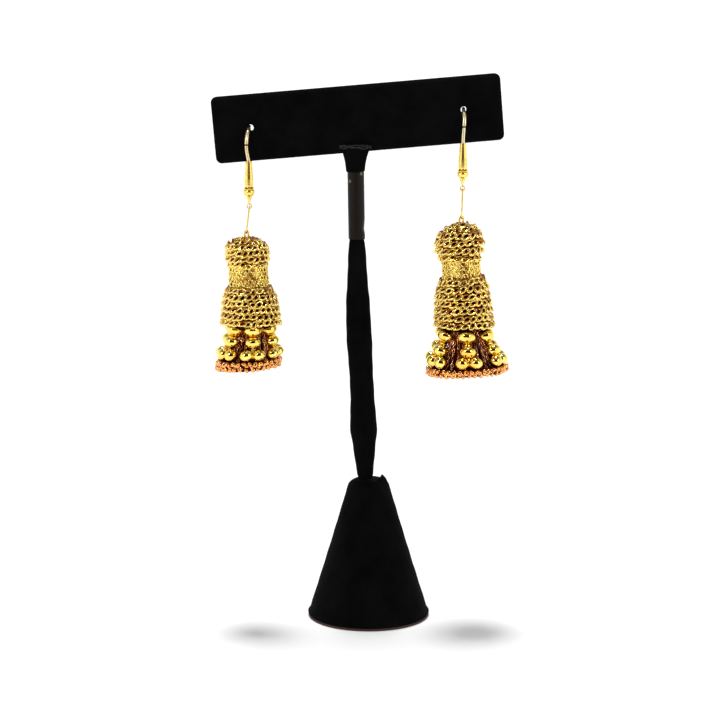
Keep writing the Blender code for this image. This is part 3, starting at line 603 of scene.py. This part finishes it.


# the earrings; lines as (share, share) rows
# front and sway have rows of a share of the way down and the mm to one side there

# each plan also gives how far the painted dark reflection at the front of its neck reaches
earringPlans = {
    "left": {
        "side": -1, "turn": radians(8.5), "lean": -0.68 * mm,
        "front": ((0.0, -0.85), (0.3, -1.15), (0.6, -1.28), (0.85, -0.95), (1.0, -0.68)),
        "inHole": -0.7 * mm, "holeShift": -0.3 * mm, "link": 7.47 * mm,
        "chainWire": 0.874 * mm, "chainPitch": 1.868 * mm, "headHeight": 7.956 * mm, "headRadius": 6.497 * mm,
        "neckHeight": 4.92 * mm, "neckRadius": 5.406 * mm, "beltRows": 6, "beltRadius": 8.888 * mm,
        "fringeHeight": 11.625 * mm, "hemRadius": 9.297 * mm, "hemHeight": 3.2 * mm, "hemLift": 0.08,
        "bead": 0.95, "spacer": False, "headTilt": 0.03, "beltTilt": 0.0, "darkReflection": 3.0 * mm,
        "headLine": ((0.0, 0.38), (0.1, 0.82), (0.3, 0.97), (0.56, 1.0), (0.76, 0.98), (1.0, 0.88)),
        "sway": ((0.0, 0.0), (0.13, -0.75), (0.4, -0.4), (0.65, 0.15), (0.85, 0.0), (1.0, -0.8)),
        "rows": ((0.058, 0.559), (0.33, 0.667), (0.61, 0.796)),
    },
    "right": {
        "side": 1, "turn": radians(1.5), "lean": -0.28 * mm,
        "front": ((0.0, 0.0), (0.3, 0.05), (0.6, -0.1), (0.85, -0.25), (1.0, -0.28)),
        "inHole": 0.0, "holeShift": 0.0, "link": 8.3 * mm,
        "chainWire": 0.95 * mm, "chainPitch": 2.03 * mm, "headHeight": 10.2 * mm, "headRadius": 7.3 * mm,
        "neckHeight": 4.1 * mm, "neckRadius": 5.3 * mm, "beltRows": 7.2, "beltRadius": 8.888 * mm,
        "fringeHeight": 12.0875 * mm, "hemRadius": 11.45 * mm, "hemHeight": 2.6 * mm, "hemLift": 0.07,
        "bead": 1.0, "spacer": True, "headTilt": 0.09, "beltTilt": 0.1, "darkReflection": 4.8 * mm,
        "headLine": ((0.0, 0.32), (0.11, 0.74), (0.32, 0.92), (0.56, 1.0), (0.76, 0.97), (1.0, 0.84)),
        "sway": ((0.0, 0.0), (0.13, -0.2), (0.31, -0.8), (0.42, -0.2), (0.7, 0.6), (1.0, 1.7)),
        "rows": ((0.125, 0.54), (0.445, 0.707), (0.668, 0.83)),
    },
}
strings = 6
dropLink = {"halfWidth": 0.7 * mm, "wire": 0.2 * mm, "fit": 0.1 * mm}
dropEye = {"height": 2.5 * mm, "halfWidth": 0.5 * mm, "wire": 0.225 * mm, "polish": 1.25, "shank": 0.45 * mm,
           "shankLength": 0.5 * mm}
formerFit = {"seat": 0.15 * mm, "lip": 0.6 * mm, "lipRise": 1.5 * mm}
fringePlate = {"rise": 0.3 * mm, "ledge": 0.75 * mm, "sides": 14}
beltLine = ((0.0, 0.75), (0.17, 0.86), (0.4, 0.91), (0.65, 0.95), (1.0, 1.0))


class Drop:
    # heights of one hanging drop below its swing axis
    def __init__(self, side):
        plan = earringPlans[side]
        self.side, self.plan, self.body = side, plan, "drop_" + side
        joint = next(j for j in frame["joints"] if j["child"] == self.body)
        self.pivot = Vector(joint["pos_m"])
        seat = earWire["ringWire"] + dropLink["fit"] + dropLink["wire"]
        self.linkTop = seat
        self.linkLow = seat - (plan["link"] - 2 * dropLink["wire"])
        self.eyeTop = self.linkLow + dropEye["wire"] + dropLink["fit"] + dropLink["wire"]
        self.eyeLow = self.eyeTop - (dropEye["height"] - 2 * dropEye["wire"])
        self.crown = self.eyeLow - dropEye["shankLength"] + plan["chainWire"]
        self.headLow = self.crown - plan["headHeight"]
        self.beltTop = self.headLow - plan["neckHeight"]
        self.beltLow = self.beltTop - (plan["beltRows"] - 1) * plan["chainPitch"] - 2 * plan["chainWire"]
        self.hemLow = self.beltLow - plan["fringeHeight"]
        self.plateLow = self.beltLow + plan["chainWire"] + fringePlate["rise"]
        self.mouth = ((plan["beltRadius"] - 2 * plan["chainWire"] - fringePlate["ledge"])
                      * cos(pi / fringePlate["sides"]))

    def lift(self, point):
        # the lower edge slopes a little from side to side
        fall = clamped((self.beltLow - point.z) / self.plan["fringeHeight"])
        return self.plan["hemLift"] * fall * fall * point.x

    def hang(self, point):
        # a point of the drop's own frame in the world, with the drop's small wander to one side
        wander = mm * smoothRead(self.plan["sway"], clamped(point.z / self.hemLow))
        return self.pivot + Vector((point.x + wander, point.y, point.z + self.lift(point)))

    def neckFront(self):
        return self.hang(Vector((0, -self.plan["neckRadius"], (self.headLow + self.beltTop) / 2)))

    def chainLine(self, table, top, low, reach, steps=48):
        wireRadius = self.plan["chainWire"]
        return [((reach - wireRadius) * smoothRead(table, k / steps),
                 top - wireRadius + (low - top + 2 * wireRadius) * k / steps) for k in range(steps + 1)]

    def headChainLine(self):
        return self.chainLine(self.plan["headLine"], self.crown, self.headLow, self.plan["headRadius"])

    def beltChainLine(self):
        return self.chainLine(beltLine, self.beltTop, self.beltLow, self.plan["beltRadius"])

    def ringsOf(self, rows):
        # (radius, height) rows as rings in the world
        rings = []
        for radius, height in rows:
            centre = self.hang(Vector((0, 0, height)))
            rings.append((centre.x, centre.y, centre.z, radius))
        return rings

    def leaned(self, piece):
        # the lower edge's slope, for a piece built of level rings
        for vertex in piece.data.vertices:
            vertex.co.z += self.lift(vertex.co - self.pivot)
        return piece

    def named(self, piece):
        return piece + self.side.capitalize()


earWire = {"radius": 0.4 * mm, "frontRadius": 0.47 * mm, "bend": 4.5 * mm, "fit": 0.15 * mm,
           "drop": 20.8 * mm, "tail": 12.0 * mm, "flick": 1.0 * mm, "tip": 0.55, "stem": 0.27 * mm,
           "ringRadius": 0.625 * mm, "ringWire": 0.225 * mm, "collar": 4.5 * mm, "aboveCollar": 1.08}
collarBand = {"halfHeight": 0.2 * mm, "bore": 0.3 * mm, "radius": 0.52 * mm}
hookBell = {"top": 8.8 * mm, "length": 7.2 * mm, "radius": 1.46 * mm, "bore": 0.5 * mm, "lip": 0.8 * mm,
            "line": ((0.0, 0.58), (0.35, 0.68), (0.72, 0.82), (1.0, 0.8)),
            "lipLine": ((0.0, 0.8), (0.4, 0.76), (0.7, 0.84), (1.0, 1.04))}
hookBead = {"gap": 0.1 * mm, "length": 3.6 * mm, "radius": 1.52 * mm, "bore": 0.28 * mm,
            "line": ((0.0, 0.74), (0.14, 1.0), (0.34, 1.0), (0.52, 0.72), (0.6, 0.46), (0.68, 0.5),
                     (0.8, 0.34), (1.0, 0.24))}


def turnedRings(centre, top, length, radius, line, steps=20):
    return [(centre.x, centre.y, centre.z - top - length * k / steps, radius * smoothRead(line, k / steps))
            for k in range(steps + 1)]


def makeHook(side):
    plan = earringPlans[side]
    name = side.capitalize()
    hole = onBar(plan["side"] * standBar["holeSpacing"] / 2, 0, 0)
    bend = earWire["bend"]
    centre = (earWire["fit"] + earWire["radius"] - standBar["holeRadius"]
              - sqrt(bend**2 - (standBar["thick"] / 2) ** 2))
    points = []
    for k in range(12):
        flick = earWire["flick"] * (1 - k / 11) ** 2
        across = plan["inHole"] + (plan["lean"] - plan["inHole"]) * min(1.0, 2 - k / 5.5)
        points.append(Vector((across, bend + flick, centre - earWire["tail"] * (1 - k / 12))))
    for k in range(41):
        angle = pi * k / 40
        points.append(Vector((plan["inHole"], bend * cos(angle), centre + bend * sin(angle))))
    for k in range(1, 21):
        points.append(Vector((0, -bend, centre + (-hookBell["top"] - centre) * k / 20)))
    for point in points[12:]:
        if point.y < 0:
            front = mm * smoothRead(plan["front"], clamped(-point.z / hookBell["top"]))
            forward = min(-point.y / (0.6 * bend), 1.0)
            point.x = plan["inHole"] + (front - plan["inHole"]) * forward
    radii = [earWire["radius"] * (earWire["tip"] if k == 0 else 1.0) for k in range(len(points))]
    for k, point in enumerate(points):
        if point.y < -0.7 * bend:
            thicker = earWire["aboveCollar"] if point.z > -earWire["collar"] else 1.0
            radii[k] = earWire["frontRadius"] * thicker
    beadTop = hookBell["top"] + hookBell["length"] + hookBead["gap"]
    for height, radius in ((hookBead["length"] / 2 - hookBead["length"] - beadTop, earWire["radius"]),
                           (hookBead["length"] / 4 - hookBead["length"] - beadTop, earWire["stem"]),
                           (earWire["ringRadius"] - earWire["drop"], earWire["stem"])):
        points.append(Vector((plan["lean"], -bend, height)))
        radii.append(radius)
    shank = wire("shank", [hole + point for point in points], radii)
    ring = fresh(bpy.ops.mesh.primitive_torus_add, major_segments=32, minor_segments=10,
                 major_radius=earWire["ringRadius"], minor_radius=earWire["ringWire"],
                 rotation=(pi / 2, 0, 0), location=hole + Vector((plan["lean"], -bend, -earWire["drop"])))
    ring = smoothed(settle(ring, "ring"))
    give(joined([shank, ring], "earWire" + name), "wire", "root", "gold", "ear_hook_" + side)

    front = mm * smoothRead(plan["front"], earWire["collar"] / hookBell["top"])
    x, y, z = hole + Vector((front, -bend, -earWire["collar"]))
    up, bore, reach = collarBand["halfHeight"], collarBand["bore"], collarBand["radius"]
    band = [(x, y, z + up, bore), (x, y, z + up, reach), (x, y, z - up, reach), (x, y, z - up, bore)]
    give(ringStack("wireCollar" + name, band, 20, hollow=True), "hollow", "root", "worn_gold")

    line = hole + Vector((plan["lean"], -bend, 0))
    body, reach = hookBell["length"] - hookBell["lip"], hookBell["radius"]
    bell = turnedRings(line, hookBell["top"], body, reach, hookBell["line"], 28)
    bell += [(*end[:3], hookBell["bore"]) for end in (bell[-1], bell[0])]
    give(ringStack("hookBell" + name, bell, 28, hollow=True), "gold", "root", "gold", "hook_bell_" + side)
    lip = turnedRings(line, hookBell["top"] + body, hookBell["lip"], reach, hookBell["lipLine"], 12)
    x, y, z, reach = lip[-1]
    lip += [(x, y, z - 0.03 * mm, reach * 0.95), (x, y, z + 0.1 * mm, hookBell["bore"]),
            (*lip[0][:3], hookBell["bore"])]
    give(ringStack("bellLip" + name, lip, 28, hollow=True), "beads", "root", "gold")
    bead = turnedRings(line, beadTop, hookBead["length"], hookBead["radius"], hookBead["line"], 24)
    x, y, z, reach = bead[-1]
    bead += [(x, y, z + 0.05 * mm, hookBead["bore"]), (*bead[0][:3], hookBead["bore"])]
    give(ringStack("hookBead" + name, bead, 28, hollow=True), "gold", "root", "gold", "hook_bead_" + side)


def oval(halfWidth, length, steps=10):
    arc = [pi * step / steps for step in range(steps + 1)]
    return ([(halfWidth * cos(a), -halfWidth + halfWidth * sin(a)) for a in arc]
            + [(-halfWidth * cos(a), halfWidth - length - halfWidth * sin(a)) for a in arc])


def makeLinkAndFormer(drop):
    outline = oval(dropLink["halfWidth"], drop.linkTop - drop.linkLow)
    points = [drop.hang(Vector((0, across, drop.linkTop + height))) for across, height in outline]
    piece = wire(drop.named("dropLink"), points, [dropLink["wire"]] * len(points), closed=True)
    give(piece, "gold", drop.body, "gold", "link_" + drop.side)

    # the former lies just inside the chains
    size, shank = drop.plan["chainWire"], dropEye["shank"]
    seat = size + formerFit["seat"]
    rows = [(shank, drop.eyeLow), (shank, drop.crown - 1.6 * size)]
    rows += [(max(radius - seat * 0.93, shank), height - seat * (0.35 if k == 0 else 0.1))
             for k, (radius, height) in enumerate(drop.headChainLine()[::4])]
    neck = drop.plan["neckRadius"] - neckMesh["wall"] - 0.1 * mm
    rows += [(neck, drop.headLow - 0.3 * mm), (neck, drop.beltTop)]
    rows += [(radius - seat, height) for radius, height in drop.beltChainLine()[::4]]
    mouth, low = rows[-1]
    rows += [(mouth - formerFit["lip"], low), (mouth - formerFit["lip"], low + formerFit["lipRise"])]
    former = ringStack(drop.named("dropFormer"), drop.ringsOf(rows), 56)
    outline = oval(dropEye["halfWidth"], drop.eyeTop - drop.eyeLow)
    points = [drop.hang(Vector((across, 0, drop.eyeTop + height))) for across, height in outline]
    radii = [dropEye["wire"] * dropEye["polish"]] * len(points)
    eye = wire(drop.named("dropEye"), points, radii, closed=True)
    give(eye, "gold", drop.body, "worn_gold")
    # the former is near-black: painted shade seen through the holes of the chains
    give(former, "hollow", drop.body, "worn_gold", "drop_former_" + drop.side)


# a wound chain's lengths are in chain wires
woundLink = {"spacing": 1.98, "length": 1.78, "width": 1.08, "thick": 0.335, "slant": radians(36),
             "roll": radians(-28), "jitter": radians(15), "uneven": 0.13, "sink": 0.12, "wander": 0.17,
             "crossover": 0.2, "tuck": 0.13, "topIn": 0.3, "headLowIn": 0.2, "beltLowIn": 0.85}


def chainPlaces(drop, line, tilt, lowIn):
    # places of the links of a chain wound in rows down a (radius, height) line; it steps down behind
    lengths = [0.0]
    for (r0, h0), (r1, h1) in zip(line, line[1:]):
        lengths.append(lengths[-1] + hypot(r1 - r0, h1 - h0))
    rows = round(lengths[-1] / drop.plan["chainPitch"])
    radii, heights = [r for r, _ in line], [h for _, h in line]
    size = drop.plan["chainWire"]
    wound = lengths[-1] - (woundLink["topIn"] + lowIn) * size

    def at(turn):
        step = min((turn % 1.0) / woundLink["crossover"], 1.0)
        share = clamped((int(turn) - 1 + step * step * (3 - 2 * step)) / rows)
        travelled = woundLink["topIn"] * size + wound * share
        radius, height = np.interp(travelled, lengths, radii), np.interp(travelled, lengths, heights)
        angle = pi / 2 - 2 * pi * (turn - woundLink["crossover"] / 2)
        x = radius * cos(angle)
        wander = woundLink["wander"] * size * sin(5 * angle + 2.4 * int(turn))
        rise = tilt * (1 - travelled / lengths[-1]) * x + wander
        return drop.hang(Vector((x, radius * sin(angle), height + rise))), angle, radius

    places = []
    turn = woundLink["crossover"] - woundLink["tuck"]
    while turn < rows + 1 + woundLink["tuck"]:
        here, angle, reach = at(turn)
        ahead = at(turn + 0.004)[0]
        outward = Vector((cos(angle), sin(angle), 0.0))
        flip = 1 if len(places) % 2 else 0
        slant = woundLink["slant"] + random.uniform(-1, 1) * woundLink["jitter"]
        roll = woundLink["roll"] + random.uniform(-1, 1) * woundLink["jitter"]
        place = axes(here - outward * size * woundLink["sink"] * flip, here - ahead, outward)
        grow = 1 + random.uniform(-1, 0.6) * woundLink["uneven"]
        places.append(place @ Matrix.Rotation(roll, 4, "X") @ Matrix.Rotation(slant, 4, "Z")
                      @ Matrix.Diagonal((grow, grow, 1, 1)))
        stride = woundLink["spacing"] * (1 + random.uniform(-1, 1) * woundLink["uneven"])
        turn += stride * size / (2 * pi * max(reach, 1 * mm))
    return places


# each ring of loops on the crown: how many, how far out, how many chain wires down
crownLoops = {"length": 0.95 * mm, "width": 0.62 * mm, "thick": 0.22 * mm, "dip": 0.35,
              "rings": ((7, 0.85 * mm, 0.5), (11, 1.6 * mm, 0.7), (14, 2.4 * mm, 0.95))}


def makeChains(drop):
    size = drop.plan["chainWire"]
    for part, line in (("head", drop.headChainLine()), ("belt", drop.beltChainLine())):
        pattern = linkPattern(*[woundLink[key] * size for key in ("length", "width", "thick")])
        places = chainPlaces(drop, line, drop.plan[part + "Tilt"], woundLink[part + "LowIn"])
        piece = copies(drop.named(part + "Chain"), pattern, places, drop.pivot)
        print(part, "chain", drop.side, len(places), "links")
        give(piece, "chain", drop.body, "gold", f"{part}_chain_{drop.side}")
    # loops that lead from the shank to the first turn, on a cap
    pattern = linkPattern(crownLoops["length"], crownLoops["width"], crownLoops["thick"])
    places = []
    for count, reach, depth in crownLoops["rings"]:
        for k in range(count):
            angle = 2 * pi * (k + random.random() * 0.5) / count
            outward = Vector((cos(angle), sin(angle), 0.0))
            centre = drop.hang(outward * reach + Vector((0, 0, drop.crown - depth * size)))
            places.append(axes(centre, outward - Vector((0, 0, crownLoops["dip"])), Vector((0, 0, 1)))
                          @ Matrix.Rotation(radians(50 if k % 2 else -40), 4, "X"))
    edge = crownLoops["rings"][-1][1]
    cap = [(radius, drop.crown - depth * size) for radius, depth in
           ((dropEye["shank"], 0.5), (edge, 1.1), (edge, 1.4), (dropEye["shank"], 0.9))]
    cap = ringStack(drop.named("crownCap"), drop.ringsOf(cap), 32, hollow=True)
    # the cap under the loops is dark: painted shade in the gaps between them
    give(cap, "recessShade", drop.body, "worn_gold")
    give(copies(drop.named("crownLoops"), pattern, places, drop.pivot), "mesh", drop.body, "gold")


neckMesh = {"ring": 0.8 * mm, "wire": 0.19 * mm, "pitch": 1.4 * mm, "rise": 0.94 * mm, "wall": 0.8 * mm,
            "over": 0.5 * mm, "under": 1.6 * mm, "seat": 0.35 * mm, "lining": (0.42 * mm, 0.7 * mm),
            "sink": (0.24 * mm, 0.34 * mm), "slant": 1.1, "unevenSlant": 0.3, "unevenRoll": 0.45}


def makeNeck(drop):
    # fine mesh, also under the first turns of the chains beside it
    plan = drop.plan
    seat = plan["chainWire"] + neckMesh["seat"]
    top, low = drop.headLow + neckMesh["over"], drop.beltTop - neckMesh["under"]
    beltRadii, beltHeights = zip(*[(radius - seat, height) for radius, height in drop.beltChainLine()])

    def reachAt(height):
        if height >= drop.beltTop - plan["chainWire"]:
            return plan["neckRadius"]
        return max(plan["neckRadius"], np.interp(-height, [-h for h in beltHeights], beltRadii))

    heights = np.linspace(top, low, 15)
    outside, inside = neckMesh["lining"]
    rows = [(reachAt(h) - outside, h) for h in heights] + [(reachAt(h) - inside, h) for h in heights[::-1]]
    sleeve = ringStack(drop.named("neckLining"), drop.ringsOf(rows), 56, hollow=True)
    give(sleeve, "chain", drop.body, "gold")
    pattern = linkPattern(neckMesh["ring"] * 1.1, neckMesh["ring"] * 0.85, neckMesh["wire"], 10, 5)
    places = []
    rowsUp = int((top - low) / neckMesh["rise"])
    for row in range(rowsUp + 1):
        height = low + (top - low) * row / rowsUp
        reach = reachAt(height)
        count = int(2 * pi * reach / neckMesh["pitch"])
        for column in range(count):
            angle = 2 * pi * (column + 0.5 * (row % 2) + random.uniform(-0.1, 0.1)) / count
            outward = Vector((cos(angle), sin(angle), 0))
            centre = drop.hang(outward * (reach - random.uniform(*neckMesh["sink"])) + Vector((0, 0, height)))
            slant = random.choice((-1, 1)) * neckMesh["slant"]
            slant += random.uniform(-1, 1) * neckMesh["unevenSlant"]
            along = Vector((-sin(angle), cos(angle), slant))
            roll = random.uniform(-1, 1) * neckMesh["unevenRoll"]
            places.append(axes(centre, along, outward) @ Matrix.Rotation(roll, 4, "X"))
    piece = copies(drop.named("neckMesh"), pattern, places, drop.pivot)
    give(piece, "mesh", drop.body, "gold", "neck_mesh_" + drop.side)


# radius and length of the long, the round and each of the paired beads
beadSizes = ((2.5 * mm, 3.8 * mm), (2.25 * mm, 3.4 * mm), (1.9 * mm, 3.3 * mm))
beadString = {"radius": 0.33 * mm, "tail": 0.9 * mm, "spacer": (0.85 * mm, 1.0 * mm), "spacerGap": 0.45 * mm}


def strandRow(drop, row):
    # radius and height of a row of beads
    depth, reach = drop.plan["rows"][row]
    return reach * drop.plan["hemRadius"], drop.beltLow - depth * drop.plan["fringeHeight"]


def makeStrand(drop, index):
    # one string: a long bead, a round bead and a pair of small ones
    bead = drop.plan["bead"]
    angle = drop.plan["turn"] + 2 * pi * index / strings
    outward = around(angle)
    first, second, third = (around(angle, *strandRow(drop, row)) for row in range(3))
    hanger = around(angle, min(first.xy.length - dropEye["shank"], drop.mouth - 0.95 * mm),
                    drop.plateLow - 0.3 * mm)
    down, lean = (second - hanger).normalized(), (third - second).normalized()
    aside = around(angle + pi / 2, beadSizes[2][0] * bead - 0.1 * mm)
    beads = [(first, down, beadSizes[0]), (second, (down + lean).normalized(), beadSizes[1]),
             (third - aside, lean, beadSizes[2]), (third + aside, lean, beadSizes[2])]
    if drop.plan["spacer"]:
        below = beadSizes[0][1] / 2 + beadString["spacerGap"]
        beads.append((first + down * below, down, beadString["spacer"]))
    parts = []
    for centre, axis, (radius, height) in beads:
        ball = ballPattern(30, 18)
        stretch = Matrix.Diagonal((height * bead / 2, radius * bead, radius * bead, 1))
        turned = axes(Vector((0, 0, 0)), axis, outward) @ stretch @ Matrix.Rotation(pi / 2, 4, "Y")
        for vertex in ball.data.vertices:
            vertex.co = drop.hang(centre + turned @ vertex.co)
        parts.append(smoothed(cleanFaces(ball), 60))
    string = [drop.hang(point) for point in (hanger, first, second, third, third + lean * beadString["tail"])]
    parts.append(wire("string", string, [beadString["radius"]] * len(string)))
    piece = joined(parts, drop.named(f"beadStrand{index + 1}"))
    give(piece, "beads", drop.body, "gold", f"bead_strand_{index + 1}_{drop.side}")


fineChain = {"strands": 5, "length": 0.8 * mm, "width": 0.52 * mm, "thick": 0.16 * mm, "spacing": 0.95 * mm,
             "topSpread": radians(13), "lowSpread": radians(26), "bulge": 0.35, "unevenBulge": 0.15,
             "topIn": 0.25, "topFan": 1.1, "inset": 1.4 * mm, "fan": 2.6 * mm, "bow": 0.5 * mm,
             "stray": 0.06 * mm, "twist": 0.4}
fringeSkin = 0.7 * mm


def makeFringe(drop):
    # a near-black backing, painted shade behind the strings of beads, with fine chains hanging in front of
    # it, between the strings of beads
    bead = drop.plan["bead"]
    (first, firstHeight), (second, secondHeight), (third, _) = (strandRow(drop, row) for row in range(3))
    foot = drop.hemLow + drop.plan["hemHeight"]
    waist = first - beadSizes[0][0] * bead - 0.3 * mm
    hip = second - beadSizes[1][0] * bead - 0.3 * mm
    skirt = third - 2 * beadSizes[2][0] * bead
    firstLow, secondLow = firstHeight - beadSizes[0][1] * bead / 2, secondHeight - beadSizes[1][1] * bead / 2
    mouth = drop.mouth - 0.3 * mm
    edge = drop.plan["hemRadius"] - hemBand["thick"] + 0.3 * mm
    rows = [(mouth, drop.plateLow + fringeSkin), (mouth, drop.plateLow), (waist, drop.plateLow),
            (waist, firstLow), (hip, secondLow), (skirt, foot), (edge, foot - fringeSkin / 2),
            (edge, foot - fringeSkin), (skirt - fringeSkin, foot - 0.4 * mm), (waist - fringeSkin, firstLow)]
    piece = drop.leaned(ringStack(drop.named("fringeBacking"), drop.ringsOf(rows), 60))
    give(piece, "hollow", drop.body, "worn_gold", "inner_fringe_" + drop.side)

    pattern = linkPattern(fineChain["length"], fineChain["width"], fineChain["thick"], 8, 4)
    places = []
    for lock in range(strings):
        middle = drop.plan["turn"] + 2 * pi * (lock + 0.5) / strings
        outward = around(middle)
        for strand in range(fineChain["strands"]):
            spread = (strand / (fineChain["strands"] - 1) - 0.5) * 2
            bulge = fineChain["bulge"] * (1 - abs(spread)) + random.random() * fineChain["unevenBulge"]
            start = around(middle + spread * fineChain["topSpread"],
                           waist + (first - waist) * (fineChain["topIn"] + fineChain["topFan"] * bulge),
                           drop.beltLow + 0.6 * mm)
            end = around(middle + spread * fineChain["lowSpread"],
                         third - fineChain["inset"] + fineChain["fan"] * bulge, foot - 0.1 * mm)
            count = int((end - start).length / fineChain["spacing"])
            for k in range(count + 1):
                share = k / count
                point = start.lerp(end, share) + outward * fineChain["bow"] * sin(pi * share) * (bulge - 0.1)
                point += Vector((random.uniform(-1, 1), random.uniform(-1, 1), 0)) * fineChain["stray"]
                twist = (pi / 2 if k % 2 else 0) + random.uniform(-1, 1) * fineChain["twist"]
                places.append(axes(drop.hang(point), end - start, outward) @ Matrix.Rotation(twist, 4, "X"))
    print("fine chains", drop.side, len(places), "links")
    # the fine chains are dark: painted shade in the hollow between the strings
    give(copies(drop.named("fineChains"), pattern, places, drop.pivot), "recessShade", drop.body, "worn_gold")


# each row of beads on the hem: how far in, and its share of the band's height
hemBand = {"thick": 1.7 * mm, "ball": 0.95 * mm, "flat": 0.72, "pitch": 1.7 * mm, "unevenIn": 0.14 * mm,
           "unevenPlace": 0.16, "unevenRise": 0.12,
           "rows": ((0.0, 0.08), (0.1 * mm, 0.92), (0.3 * mm, 0.5), (1.0 * mm, 0.45))}


def makeHem(drop):
    outer, low, height = drop.plan["hemRadius"], drop.hemLow, drop.plan["hemHeight"]
    top, middle = low + height - 0.35 * mm, low + height / 2
    core = [(outer - inset * mm, z) for inset, z in ((0.9, top), (0.6, middle), (0.9, low + 0.5 * mm),
                                                     (1.3, low + 0.4 * mm), (1.6, middle), (1.5, top))]
    # the hem's core is near-black: painted shade in the gaps between its beads
    piece = drop.leaned(ringStack(drop.named("hemThread"), drop.ringsOf(core), 72, hollow=True))
    give(piece, "hollow", drop.body, "worn_gold")
    pattern = ballPattern(10, 7)
    places = []
    for row, (inset, rise) in enumerate(hemBand["rows"]):
        count = int(2 * pi * (outer - inset) / hemBand["pitch"])
        for column in range(count):
            step = column + 0.5 * (row % 2) + random.uniform(-1, 1) * hemBand["unevenPlace"]
            angle = 2 * pi * step / count
            size = hemBand["ball"] * random.uniform(0.72, 1.0)
            radius = outer - size - inset - random.random() * hemBand["unevenIn"]
            share = clamped(rise + random.uniform(-1, 1) * hemBand["unevenRise"])
            z = low + size + (height - 2 * size) * share
            tip = Vector([random.uniform(-1, 1) for _ in range(3)])
            place = axes(drop.hang(around(angle, radius, z)), tip, around(angle, 1.0, 0.1))
            places.append(place @ Matrix.Diagonal((size * hemBand["flat"], size, size, 1)))
    piece = copies(drop.named("hemBeads"), pattern, places, drop.pivot)
    # hem beads: partly their own red gold, partly painted shade of the underside
    give(piece, "shadedHemGold", drop.body, "worn_gold", "hem_beads_" + drop.side)


# the studio

studio = {"floor": 6.0, "strength": 1.2, "sky": ((0.18, 1.0), (0.36, 0.02), (0.95, 0.08)),
          "cardWidth": 1.25, "cardHeight": 0.62, "cardAway": 0.65,
          "lamps": (("sun", "SUN", (-0.03, 0.19, 1.0), (0, 0, 0), 13, 2.95),
                    ("keyBox", "AREA", (-0.35, -0.42, 0.45), (0, 0, 0.09), 0.09, 0.8),
                    ("fillBox", "AREA", (0.42, -0.35, 0.35), (0, 0, 0.09), 0.07, 0.45)),
          "view": (-0.00237, -0.51, 0.155), "lookDown": radians(9.27), "lens": 94.55}


def makeStudio():
    floor = settle(fresh(bpy.ops.mesh.primitive_plane_add, size=studio["floor"], location=(0, 0, 0)), "floor")
    bpy.ops.object.mode_set(mode="EDIT")
    bpy.ops.mesh.select_all(action="SELECT")
    bpy.ops.mesh.subdivide(number_cuts=1)
    bpy.ops.object.mode_set(mode="OBJECT")
    floor.data.materials.append(finishes["paper"])
    card = settle(fresh(bpy.ops.mesh.primitive_plane_add, size=1.0, rotation=(pi / 2, 0, 0),
                        location=(0, -studio["cardAway"], studio["cardHeight"] / 2 + 1 * mm),
                        scale=(studio["cardWidth"], studio["cardHeight"], 1)), "darkCard")
    card.data.materials.append(finishes["hollow"])
    card.visible_camera = card.visible_shadow = card.visible_diffuse = False
    # white floor and horizon, dark ceiling
    world = bpy.data.worlds.new("studio")
    bpy.context.scene.world = world
    world.use_nodes = True
    tree = world.node_tree
    sky = tree.nodes.new("ShaderNodeTexCoord")
    height = tree.nodes.new("ShaderNodeSeparateXYZ")
    ramp = tree.nodes.new("ShaderNodeValToRGB")
    for element, (place, level) in zip([ramp.color_ramp.elements[0], ramp.color_ramp.elements[1],
                                        ramp.color_ramp.elements.new(0.9)], studio["sky"]):
        element.position, element.color = place, (level, level, level, 1.0)
    tree.links.new(sky.outputs["Generated"], height.inputs[0])
    tree.links.new(height.outputs["Z"], ramp.inputs[0])
    tree.links.new(ramp.outputs[0], tree.nodes["Background"].inputs["Color"])
    tree.nodes["Background"].inputs["Strength"].default_value = studio["strength"]
    for name, kind, place, aim, size, power in studio["lamps"]:
        light = bpy.data.lights.new(name, kind)
        if kind == "SUN":
            light.angle = radians(size)
        else:
            light.shape, light.size = "DISK", size
        light.energy = power
        lamp = bpy.data.objects.new(name, light)
        lamp.location = place
        lamp.rotation_euler = (Vector(aim) - Vector(place)).to_track_quat("-Z", "Y").to_euler()
        bpy.context.scene.collection.objects.link(lamp)
    bpy.context.scene.view_settings.view_transform = "Standard"
    camera = bpy.data.cameras.new("view")
    camera.lens, camera.sensor_width = studio["lens"], 36.0
    camera.clip_start, camera.clip_end = 0.01, 20.0
    holder = bpy.data.objects.new("view", camera)
    holder.location = studio["view"]
    holder.rotation_euler = (pi / 2 - studio["lookDown"], 0, 0)
    bpy.context.scene.collection.objects.link(holder)
    bpy.context.scene.camera = holder


makeFinishes()
makeCone()
makePost()
makeClip()
makeBar()
print("stand made")
for side in ("left", "right"):
    makeHook(side)
    drop = Drop(side)
    makeLinkAndFormer(drop)
    makeChains(drop)
    makeNeck(drop)
    makeFringe(drop)
    for index in range(strings):
        makeStrand(drop, index)
    makeHem(drop)
    print(side, "earring made")
makeStudio()
